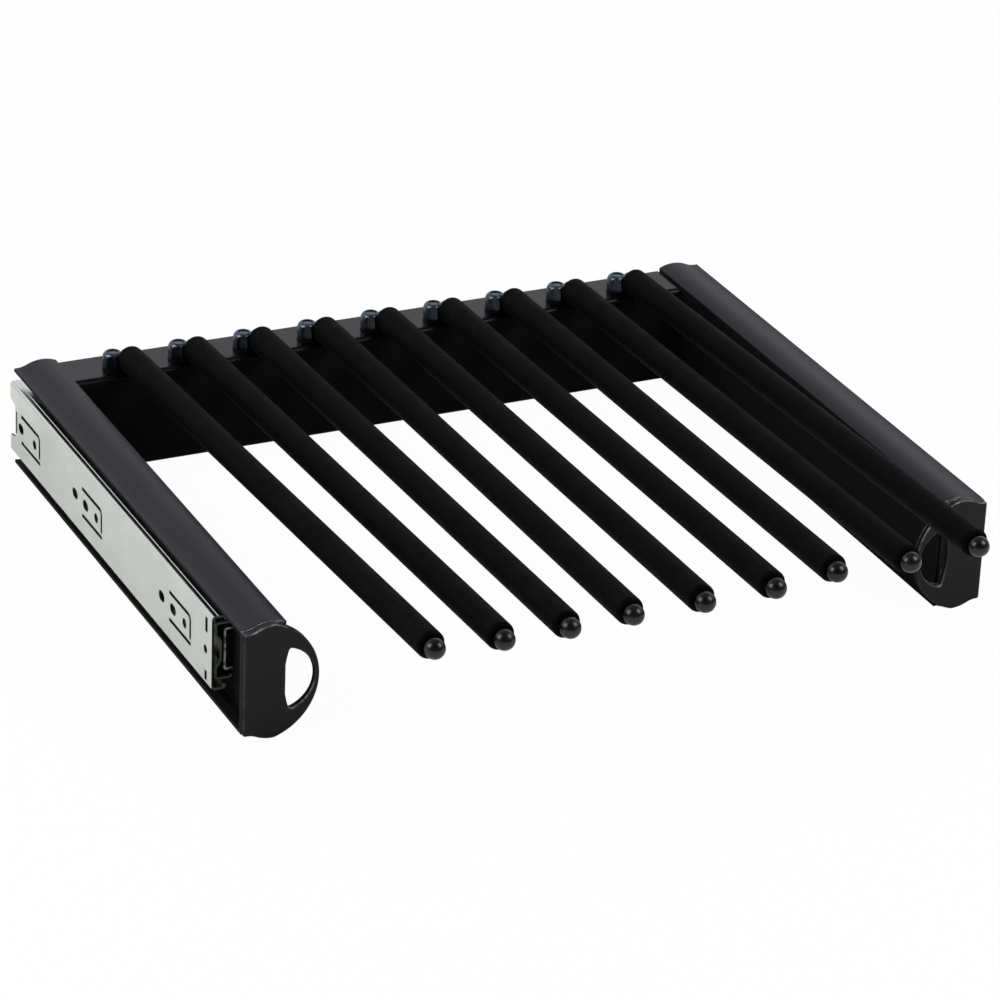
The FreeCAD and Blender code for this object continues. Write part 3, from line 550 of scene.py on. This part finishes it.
def edge_group():
    """A mask of the edges, where handling wears a finish and where finishes paint highlights."""
    name = "Worn edges and painted highlights"
    if once(name):
        return once(name)
    build, given, out = new_group(name, {"Radius": 0.0006, "Breakup Scale": 300.0}, ("Edge",))
    bevel = build.add("ShaderNodeBevel", {"Radius": given["Radius"]}, samples=4)
    plain = build.add("ShaderNodeNewGeometry")
    alike = build.add("ShaderNodeVectorMath", {0: bevel.outputs["Normal"], 1: plain.outputs["Normal"]},
                      operation="DOT_PRODUCT")
    edge = build.ranged(alike.outputs["Value"], low=0.998, high=0.95)
    breakup = build.noise(given["Vector"], given["Breakup Scale"], detail=3.0)
    patchy = build.ranged(breakup, low=0.25, high=0.60)
    build.feed(out["Edge"], build.maths("MULTIPLY", edge, patchy))
    return build.tree


def shade(value, share):
    """A colour made lighter or darker by a share, with alpha."""
    return tuple(min(1.0, c * share) for c in value) + (1.0,)


def rail_coat(colours):
    """Satin black coat on extruded rails: faint lines, painted edge highlights, painted light on the tops,
    duller walls and undersides.
    """
    finish = Finish("rail_coat")
    skin = finish.skin(grain=1800.0, mottle=25.0)
    lines = finish.streaks(across=700.0)
    edge = finish.edges(radius=0.0005)
    below = finish.ranged(finish.along(finish.place, "Z"), low=0.002, high=-0.002)
    dull_and_shaded = finish.maths("MAXIMUM", finish.upright(), below)
    base = finish.mottled(skin, colours.coat, dark=0.8, light=1.25)
    # Painted light: the tops are painted lighter; the walls and undersides keep the dark coat as painted
    # shade.
    base = finish.mixed(dull_and_shaded, shade(colours.coat, COAT_TOP_PAINTED_LIGHT), base)
    # Painted highlights: the edges are painted much lighter than the coat.
    base = finish.mixed(edge, base, shade(colours.coat, COAT_EDGE_HIGHLIGHT))
    finish.set(Base_Color=base, Specular_IOR_Level=COAT_SPECULAR)
    satin = finish.between(lines, low=0.40, high=0.45)
    finish.set(Roughness=finish.raised(satin, dull_and_shaded, amount=0.45))
    finish.bump(finish.raised(skin["Grain"], lines, amount=0.4), strength=0.02)
    return finish.material


def beam_coat(colours):
    """Black powder coat with a slight orange-peel and painted highlights on its edges, duller on the upright
    walls.
    """
    finish = Finish("beam_coat")
    skin = finish.skin(grain=700.0, mottle=18.0)
    edge = finish.edges(radius=0.0005)
    base = finish.mottled(skin, colours.coat, dark=0.8, light=1.2)
    # Painted highlights: the edges are painted much lighter than the coat.
    base = finish.mixed(edge, base, shade(colours.coat, COAT_EDGE_HIGHLIGHT))
    finish.set(Base_Color=base, Specular_IOR_Level=COAT_SPECULAR)
    satin = finish.between(skin["Mottle"], low=0.18, high=0.26)
    finish.set(Roughness=finish.raised(satin, finish.upright(), amount=0.76))
    finish.bump(skin["Grain"], strength=0.06)
    return finish.material


def cap_plastic(colours):
    """Moulded satin plastic with a fine eroded texture, polished by fingers at its upper edges, which carry a
    painted highlight.
    """
    finish = Finish("cap_plastic")
    skin = finish.skin(grain=3200.0, mottle=60.0)
    facing_up = finish.ranged(finish.along(finish.normal, "Z"), low=0.05, high=0.45, start=0.12, end=1.0)
    edge = finish.both(finish.edges(radius=0.0008), facing_up)
    base = finish.mottled(skin, colours.plastic, dark=0.85, light=1.2)
    # Painted highlight: the upper edges are painted light grey.
    base = finish.mixed(edge, base, shade(colours.cap_edge_highlight, 1.0))
    finish.set(Base_Color=base, Specular_IOR_Level=0.20)
    sideways = finish.ranged(finish.part(finish.normal, "X"), low=0.5, high=0.8, start=0.0, end=0.5)
    satin = finish.between(skin["Mottle"], low=0.34, high=0.42)
    worn = finish.maths("SUBTRACT", satin, finish.maths("MULTIPLY", edge, POLISH))
    finish.set(Roughness=finish.maths("ADD", worn, sideways))
    finish.bump(skin["Grain"], strength=0.18, distance=0.00008)
    return finish.material


def rod_flock(colours):
    """Matte black flock: short dense fibres with a faint cool sheen."""
    finish = Finish("rod_flock")
    skin = finish.skin(grain=4200.0, mottle=70.0)
    fibres = finish.ranged(skin["Grain"], low=0.35, high=0.65)
    base = finish.mixed(fibres, shade(colours.flock, 0.55), shade(colours.flock, 1.5))
    finish.set(Base_Color=base, Specular_IOR_Level=0.04)
    finish.set(Sheen_Weight=0.012, Sheen_Roughness=0.45, Sheen_Tint=COOL_SHEEN)
    finish.set(Roughness=finish.between(skin["Mottle"], low=0.58, high=0.70))
    finish.bump(skin["Grain"], strength=0.35, distance=0.0002)
    return finish.material


def tip_gloss(colours):
    """Gloss black ball, with a faint haze."""
    finish = Finish("tip_gloss")
    skin = finish.skin(grain=1500.0, mottle=160.0)
    haze = finish.between(skin["Mottle"], low=0.22, high=0.30)
    finish.set(Base_Color=finish.mottled(skin, colours.tip, dark=0.85, light=1.2))
    finish.set(Roughness=haze, Specular_IOR_Level=0.45)
    finish.bump(skin["Grain"], strength=0.04)
    return finish.material


def zinc_plate(colours):
    """Zinc plating on rolled steel: soft clouds, lengthwise lines, painted shade and glints on cut ends,
    painted shade in the slits.
    """
    finish = Finish("zinc_plate")
    skin = finish.skin(grain=2400.0, mottle=55.0)
    lines = finish.streaks(across=1100.0)
    base = finish.mottled(skin, colours.zinc, dark=0.94, light=1.05)
    base = finish.mixed(finish.maths("MULTIPLY", lines, LINE_SHARE), base, shade(colours.zinc, 1.12))
    facing_side, facing_end = (finish.part(finish.normal, axis) for axis in "XY")
    out, up = (finish.part(finish.place, axis) for axis in "XZ")
    web = finish.both(finish.ranged(out, *WEB_SIDE), finish.ranged(up, *WEB_TOP))
    # Painted shade: the walls of the slits in the cabinet members' webs are painted nearly black.
    pierced_shade = finish.both(web, finish.ranged(facing_side, low=0.7, high=0.5))
    inside_web = finish.ranged(out, *reversed(WEB_SIDE))
    cut = finish.both(finish.ranged(facing_end, low=0.85, high=0.95), inside_web)
    # Painted glints: noise lights patches of the inner members' cut ends.
    painted_glint = finish.ranged(finish.noise(finish.place, PAINTED_GLINT_SCALE), low=0.40, high=0.55)
    innermost = finish.both(finish.ranged(out, *INNER_SIDE), finish.ranged(up, *INNER_TOP))
    painted_glints = finish.both(painted_glint, innermost)
    # The cut ends: painted shade in dark zinc, with the painted glints lighter.
    end = finish.mixed(painted_glints, shade(colours.zinc, 0.25), shade(colours.zinc, 1.2))
    base = finish.mixed(cut, base, end)
    finish.set(Base_Color=finish.mixed(pierced_shade, base, shade(colours.coat, 1.5)))
    # Less metal on the cut ends and slit walls, so that their painted shade and glints show.
    non_metal = finish.maths("MAXIMUM", finish.maths("MULTIPLY", cut, CUT_END_NON_METAL), pierced_shade)
    finish.set(Metallic=finish.maths("SUBTRACT", 1.0, non_metal))
    rough = finish.between(skin["Mottle"], low=0.20, high=0.28)
    finish.set(Roughness=finish.raised(rough, pierced_shade, amount=0.4))
    finish.bump(finish.maths("ADD", skin["Grain"], lines), strength=0.05)
    return finish.material


def plain_steel(colours):
    """Bright rolled steel of the ball cages."""
    finish = Finish("plain_steel")
    lines = finish.streaks(across=1600.0)
    base = finish.mixed(lines, shade(colours.steel, 0.85), shade(colours.steel, 1.1))
    finish.set(Base_Color=base, Metallic=1.0, Roughness=finish.between(lines, low=0.28, high=0.40))
    finish.bump(lines, strength=0.08)
    return finish.material


def bearing_steel(colours):
    """Polished balls under a thin film of grease."""
    finish = Finish("bearing_steel")
    skin = finish.skin(grain=900.0, mottle=500.0)
    finish.set(Base_Color=finish.mottled(skin, colours.steel, dark=1.3, light=1.6), Metallic=1.0)
    finish.set(Roughness=finish.between(skin["Mottle"], low=0.06, high=0.18))
    return finish.material


def black_steel(colours):
    """Blackened steel with a blue cast, brighter on its crowns and corners than its flats: painted shade on
    flats, painted highlights on edges.
    """
    finish = Finish("black_steel")
    skin = finish.skin(grain=2600.0, mottle=300.0)
    edge = finish.edges(radius=0.0004)
    base = finish.mottled(skin, colours.black_steel, dark=1.5, light=2.2)
    # Painted shade: the upright flats are painted darker than the crowns.
    base = finish.mixed(finish.upright(), base, shade(colours.black_steel, 0.8))
    # Painted highlights: the edges are painted lighter.
    base = finish.mixed(edge, base, shade(colours.black_steel, 1.8))
    finish.set(Base_Color=base, Metallic=1.0)
    finish.set(Roughness=finish.between(skin["Mottle"], low=0.28, high=0.40))
    finish.bump(skin["Grain"], strength=0.08)
    return finish.material


def screw_zinc(colours):
    """Zinc-plated screws with painted highlights on their edges."""
    finish = Finish("screw_zinc")
    skin = finish.skin(grain=3000.0, mottle=350.0)
    edge = finish.edges(radius=0.0003)
    base = finish.mottled(skin, colours.zinc, dark=0.85, light=1.0)
    # Painted highlights: the edges are painted lighter zinc.
    finish.set(Base_Color=finish.mixed(edge, base, shade(colours.zinc, 1.25)), Metallic=1.0)
    finish.set(Roughness=finish.between(skin["Mottle"], low=0.25, high=0.40))
    return finish.material


def rod_paint(colours):
    """Black paint on the rods' cores and eyes, with grey steel on top of the cores' ends."""
    finish = Finish("rod_paint")
    skin = finish.skin(grain=1500.0, mottle=120.0)
    grey_top = finish.ranged(finish.part(finish.place, "Z"), low=0.0340, high=0.0365)
    paint = finish.mottled(skin, colours.coat, dark=0.7, light=1.1)
    finish.set(Base_Color=finish.mixed(grey_top, paint, shade(colours.steel, 0.5)))
    finish.set(Metallic=finish.maths("MULTIPLY", grey_top, GREY_TOP_METALLIC), Specular_IOR_Level=0.3)
    finish.set(Roughness=finish.between(skin["Mottle"], low=0.40, high=0.52))
    finish.bump(skin["Grain"], strength=0.10)
    return finish.material


def lever_plastic(colours):
    """Plain black plastic of the release levers."""
    finish = Finish("lever_plastic")
    skin = finish.skin(grain=2500.0, mottle=200.0)
    base = finish.mottled(skin, colours.plastic, dark=1.8, light=2.4)
    finish.set(Base_Color=base, Specular_IOR_Level=0.4)
    finish.set(Roughness=finish.between(skin["Mottle"], low=0.42, high=0.55))
    finish.bump(skin["Grain"], strength=0.12)
    return finish.material


def buffer_rubber(colours):
    """Dull black rubber with a bloom."""
    finish = Finish("buffer_rubber")
    skin = finish.skin(grain=2200.0, mottle=250.0)
    base = finish.mottled(skin, colours.plastic, dark=1.2, light=2.2)
    finish.set(Base_Color=base, Specular_IOR_Level=0.3)
    finish.set(Roughness=finish.between(skin["Mottle"], low=0.70, high=0.85))
    finish.bump(skin["Grain"], strength=0.2)
    return finish.material


# Operators

class RACK_OT_rails(bpy.types.Operator):
    """Finish the two side rails"""

    bl_idname = "rack.rails"
    bl_label = "Side rails"

    def execute(self, context):
        dress(both_sides("side_rail"), rail_coat(context.scene.rack_colours))
        return {"FINISHED"}


class RACK_OT_end_caps(bpy.types.Operator):
    """Finish the two end caps"""

    bl_idname = "rack.end_caps"
    bl_label = "End caps"

    def execute(self, context):
        dress(both_sides("end_cap"), cap_plastic(context.scene.rack_colours))
        return {"FINISHED"}


class RACK_OT_beam(bpy.types.Operator):
    """Finish the back beam and its end plates"""

    bl_idname = "rack.beam"
    bl_label = "Back beam"

    def execute(self, context):
        dress(["back_beam"] + both_sides("beam_plate"), beam_coat(context.scene.rack_colours))
        return {"FINISHED"}


class RACK_OT_slides(bpy.types.Operator):
    """Finish the slides with their cages, balls, levers and buffers"""

    bl_idname = "rack.slides"
    bl_label = "Slides"

    def execute(self, context):
        colours = context.scene.rack_colours
        dress(both_sides("cabinet_member", "middle_member", "inner_member"), zinc_plate(colours))
        dress(both_sides("outer_cage", "inner_cage"), plain_steel(colours))
        dress(both_sides("outer_balls", "inner_balls"), bearing_steel(colours))
        dress(both_sides("release_lever"), lever_plastic(colours))
        dress(both_sides("rear_buffer"), buffer_rubber(colours))
        return {"FINISHED"}


class RACK_OT_rods(bpy.types.Operator):
    """Finish the nine rods: sleeves, cores and balls"""

    bl_idname = "rack.rods"
    bl_label = "Rods"

    def execute(self, context):
        colours = context.scene.rack_colours
        dress(of_rods("rod_sleeve"), rod_flock(colours))
        dress(of_rods("rod_core"), rod_paint(colours))
        dress(of_rods("rod_ball"), tip_gloss(colours))
        return {"FINISHED"}


def crown_profile(hardware, tall):
    """The rounded top of a nut, from its blank's radius to its flat ring."""
    start = math.radians(CROWN_START)
    ring = hardware.crown_radius
    wide = (blank_radius(hardware) - ring) / math.cos(start)
    deep = hardware.nut_crown / (1 - math.sin(start))
    angles = [start + (math.pi / 2 - start) * k / CROWN_STEPS for k in range(CROWN_STEPS + 1)]
    return [(ring + wide * math.cos(a), tall - deep * (1 - math.sin(a))) for a in angles]


def upright_places(places):
    """Moves to the middle of each lump, with the foot at the first lump's height."""
    foot = places[0][0].z
    centres = [(low + high) / 2 for low, high in places]
    return [Matrix.Translation((c.x, c.y, foot)) for c in centres]


class RACK_OT_nuts(bpy.types.Operator):
    """Model the lock nuts that hold the rods"""

    bl_idname = "rack.nuts"
    bl_label = "Lock nuts"

    def execute(self, context):
        hardware, colours = context.scene.rack_hardware, context.scene.rack_colours
        places = spots("rod_nuts", (0,), len(RODS))
        low, high = places[0]
        tall = high.z - low.z
        nut = hexagon("lock_nut", hardware, tall, crown_profile(hardware, tall))
        hole = [(hardware.bore_radius, -tall), (hardware.bore_radius, 2 * tall)]
        shaped_by(nut, turned("bore", hole, hardware.sides), "DIFFERENCE")
        nuts = set_out(nut, "lock_nuts", upright_places(places))
        smooth(nuts)
        stands_for(nuts, "rod_nuts", black_steel(colours))
        return {"FINISHED"}


class RACK_OT_bolts(bpy.types.Operator):
    """Model the hexagon bolts under the beam"""

    bl_idname = "rack.bolts"
    bl_label = "Rod bolts"

    def execute(self, context):
        hardware = context.scene.rack_hardware
        places = spots("rod_bolts", (0,), len(RODS))
        low, high = places[0]
        tall, head, r = high.z - low.z, hardware.bolt_head, hardware.bolt_radius
        corner, face = blank_radius(hardware), FACE_SHARE * hardware.flats / 2
        bolt = hexagon("rod_bolt", hardware, head, [(corner, head - hardware.chamfer), (face, head)])
        pitch = hardware.bolt_pitch
        ridges = thread(r, pitch, head + BOLT_PLAIN * pitch, tall - BOLT_RUN_OUT * pitch)
        turn_on(bolt, [(face, head), (r, head)] + ridges + [(BOLT_END * r, tall)])
        bolts = set_out(bolt, "hexagon_bolts", upright_places(places))
        smooth(bolts)
        stands_for(bolts, "rod_bolts", bpy.data.materials["black_steel"])
        return {"FINISHED"}


def pan_head_screw(hardware, reach):
    """A screw with its head above Z 0, a ridged shank below that and a cross recess."""
    r, head_radius, head = hardware.screw_radius, hardware.screw_head_radius, hardware.screw_head
    pitch = hardware.screw_pitch
    profile = [(TIP_SHARE * r, -reach), (POINT_SHARE * r, -reach + pitch)]
    profile += thread(r, pitch, -reach + SCREW_TAPER * pitch, -SCREW_NECK * pitch)
    profile += [(NECK_SHARE * r, 0.0), (head_radius, 0.0), (head_radius, RIM_SHARE * head)]
    for degrees in ROUND_STEPS:
        a = math.radians(degrees)
        profile.append((head_radius * (1 - ROUND_SHARE + ROUND_SHARE * math.cos(a)),
                        head * (RIM_SHARE + (1 - RIM_SHARE) * math.sin(a))))
    profile.append((FLAT_SHARE * head_radius, head))
    piece = turned("pan_head_screw", profile, hardware.sides)
    for turn in (0, 90):
        deselect()
        depth = 2 * hardware.recess_depth
        bpy.ops.mesh.primitive_cube_add(size=1, location=(0, 0, head), rotation=(0, 0, math.radians(turn)),
                                        scale=(hardware.recess_span, hardware.recess_width, depth))
        arm = start_piece("recess_arm")
        bpy.ops.object.mode_set(mode="EDIT")
        pick(arm, lambda centre, normal: normal.z < -LEVEL)
        bpy.ops.transform.resize(value=(RECESS_TAPER, RECESS_TAPER, 1), center_override=(0, 0, head))
        bpy.ops.object.mode_set(mode="OBJECT")
        shaped_by(piece, arm, "DIFFERENCE")
    return piece


def facing(direction, point):
    """Turns +Z to a direction and moves the origin to a point."""
    turn = UP.rotation_difference(Vector(direction)).to_matrix().to_4x4()
    return Matrix.Translation(point) @ turn


def screw_places(node, axes, count, head_out, head):
    """Where each screw of a node goes: its head points away from the middle of the rack, or towards it."""
    places, reach = [], 0.0
    for low, high in spots(node, axes, count):
        middle = (low + high) / 2
        outwards = 1 if middle.x > 0 else -1
        way = outwards if head_out else -outwards
        top = high.x if way > 0 else low.x
        places.append(facing((way, 0, 0), (top - way * head, middle.y, middle.z)))
        reach = high.x - low.x - head
    return places, reach


class RACK_OT_screws(bpy.types.Operator):
    """Model the pan-head screws of the slides and the beam"""

    bl_idname = "rack.screws"
    bl_label = "Screws"

    def execute(self, context):
        hardware = context.scene.rack_hardware
        plating = screw_zinc(context.scene.rack_colours)
        groups = [("left_slide_screws", (1,), 3, True), ("right_slide_screws", (1,), 3, True),
                  ("beam_screws", (2, 0), 4, False)]
        for node, axes, count, head_out in groups:
            places, reach = screw_places(node, axes, count, head_out, hardware.screw_head)
            screws = set_out(pan_head_screw(hardware, reach), "pan_head_" + node, places)
            smooth(screws)
            stands_for(screws, node, plating)
        return {"FINISHED"}


def camera_axes(studio):
    """The camera's right, up and backward directions."""
    a, e, roll = studio.azimuth, studio.elevation, studio.roll
    back = Vector((math.sin(a) * math.cos(e), -math.cos(a) * math.cos(e), math.sin(e)))
    right = Vector((math.cos(a), math.sin(a), 0))
    up = back.cross(right)
    return (math.cos(roll) * right + math.sin(roll) * up, math.cos(roll) * up - math.sin(roll) * right, back)


def add_camera(studio):
    right, up, back = camera_axes(studio)
    turn = Matrix((right, up, back)).transposed()
    bpy.ops.object.camera_add(location=studio.eye, rotation=turn.to_euler())
    camera = bpy.context.object
    camera.name = "photo_camera"
    camera.data.lens = studio.lens
    camera.data.sensor_width = SENSOR_WIDTH
    camera.data.clip_start = CLIP_START
    camera.data.clip_end = CLIP_END
    bpy.context.scene.camera = camera


def add_softbox(name, studio, middle, direction):
    """A square light at its distance, facing the middle of the rack."""
    way = direction.normalized()
    place = middle + way * studio.softbox_distance
    bpy.ops.object.light_add(type="AREA", location=place, rotation=way.to_track_quat("Z", "Y").to_euler())
    light = bpy.context.object
    light.name = name
    light.data.shape = "SQUARE"
    light.data.size = studio.softbox_size
    light.data.energy = studio.softbox_power


def floor_white():
    """A white floor: the camera sees it almost evenly lit, with a faint shadow, and through it from below."""
    material = bpy.data.materials.new("floor_white")
    material.use_nodes = True
    build = Tree(material.node_tree)
    output = build.add("ShaderNodeOutputMaterial")
    matte = build.add("ShaderNodeBsdfDiffuse", {"Color": FLOOR_COLOUR}).outputs["BSDF"]
    glow = build.add("ShaderNodeEmission", {"Color": WHITE, "Strength": 1.0}).outputs["Emission"]
    clear = build.add("ShaderNodeBsdfTransparent").outputs["BSDF"]
    path = build.add("ShaderNodeLightPath").outputs
    under = build.add("ShaderNodeNewGeometry").outputs["Backfacing"]
    lit = build.blended(build.maths("MULTIPLY", path["Is Camera Ray"], FLOOR_GLOW), matte, glow)
    open_below = build.maths("MULTIPLY", path["Is Camera Ray"], under)
    build.feed(output.inputs["Surface"], build.blended(open_below, lit, clear))
    return material


def add_floor(studio):
    deselect()
    bpy.ops.mesh.primitive_plane_add(size=studio.floor_size, location=(0, 0, CAD_BOX[0][2]))
    floor = start_piece("floor")
    floor.data.materials.append(floor_white())


def add_world(studio):
    """Even fill light; the camera sees white, and reflections see a room with a lit band on its rear wall."""
    world = bpy.data.worlds.new("studio_room")
    world.use_nodes = True
    build = Tree(world.node_tree)
    output = build.add("ShaderNodeOutputWorld")
    path = build.add("ShaderNodeLightPath").outputs
    direction = build.add("ShaderNodeTexCoord").outputs["Generated"]
    parts = build.add("ShaderNodeSeparateXYZ", {"Vector": direction}).outputs
    wall = build.ranged(parts["Y"], low=-0.4, high=0.4, start=0.08, end=1.0)
    foot = build.ranged(parts["Z"], low=0.02, high=0.18, start=0.15, end=1.0)
    ceiling = build.ranged(parts["Z"], low=0.42, high=0.62, start=1.0, end=0.3)
    room = build.maths("MULTIPLY", build.maths("MULTIPLY", wall, foot), ceiling)
    fill = build.add("ShaderNodeBackground", {"Color": WHITE, "Strength": studio.fill})
    reflected = build.add("ShaderNodeBackground", {"Color": ROOM_COLOUR, "Strength": room})
    white = build.add("ShaderNodeBackground", {"Color": WHITE, "Strength": 1.0})
    mirror = build.maths("MAXIMUM", path["Is Glossy Ray"], path["Is Transmission Ray"])
    unseen = build.blended(mirror, fill.outputs[0], reflected.outputs[0])
    build.feed(output.inputs["Surface"], build.blended(path["Is Camera Ray"], unseen, white.outputs[0]))
    bpy.context.scene.world = world


class RACK_OT_studio(bpy.types.Operator):
    """Set up the floor, the lights, the room and the camera"""

    bl_idname = "rack.studio"
    bl_label = "Studio"

    def execute(self, context):
        studio = context.scene.rack_studio
        context.scene.view_settings.view_transform = "Standard"
        middle = (Vector(CAD_BOX[0]) + Vector(CAD_BOX[1])) / 2
        right, up, back = camera_axes(studio)
        for name, (sideways, upwards, backwards) in SOFTBOXES.items():
            add_softbox(name, studio, middle, sideways * right + upwards * up + backwards * back)
        add_floor(studio)
        add_world(studio)
        add_camera(studio)
        return {"FINISHED"}


class RACK_PT_sidebar(bpy.types.Panel):
    """The rack's steps in the sidebar"""

    bl_idname = "RACK_PT_sidebar"
    bl_label = "Trouser Rack"
    bl_space_type = "VIEW_3D"
    bl_region_type = "UI"
    bl_category = "Trouser Rack"

    def draw(self, context):
        for step in STEPS:
            self.layout.operator(step.bl_idname)
        for name in GROUPS:
            settings = getattr(context.scene, name)
            box = self.layout.box()
            for key in settings.__annotations__:
                box.prop(settings, key)


STEPS = (RACK_OT_rails, RACK_OT_end_caps, RACK_OT_beam, RACK_OT_slides, RACK_OT_rods, RACK_OT_nuts,
         RACK_OT_bolts, RACK_OT_screws, RACK_OT_studio)
GROUPS = {"rack_hardware": RackHardware, "rack_colours": RackColours, "rack_studio": RackStudio}


def register():
    for group in GROUPS.values():
        bpy.utils.register_class(group)
    for name, group in GROUPS.items():
        setattr(bpy.types.Scene, name, PointerProperty(type=group))
    for step in STEPS:
        bpy.utils.register_class(step)
    bpy.utils.register_class(RACK_PT_sidebar)


def unregister():
    bpy.utils.unregister_class(RACK_PT_sidebar)
    for step in reversed(STEPS):
        bpy.utils.unregister_class(step)
    for name, group in GROUPS.items():
        delattr(bpy.types.Scene, name)
        bpy.utils.unregister_class(group)


def main():
    register()
    bpy.ops.rack.rails()
    bpy.ops.rack.end_caps()
    bpy.ops.rack.beam()
    bpy.ops.rack.slides()
    bpy.ops.rack.rods()
    bpy.ops.rack.nuts()
    bpy.ops.rack.bolts()
    bpy.ops.rack.screws()
    bpy.ops.rack.studio()


if __name__ == "__main__":
    main()
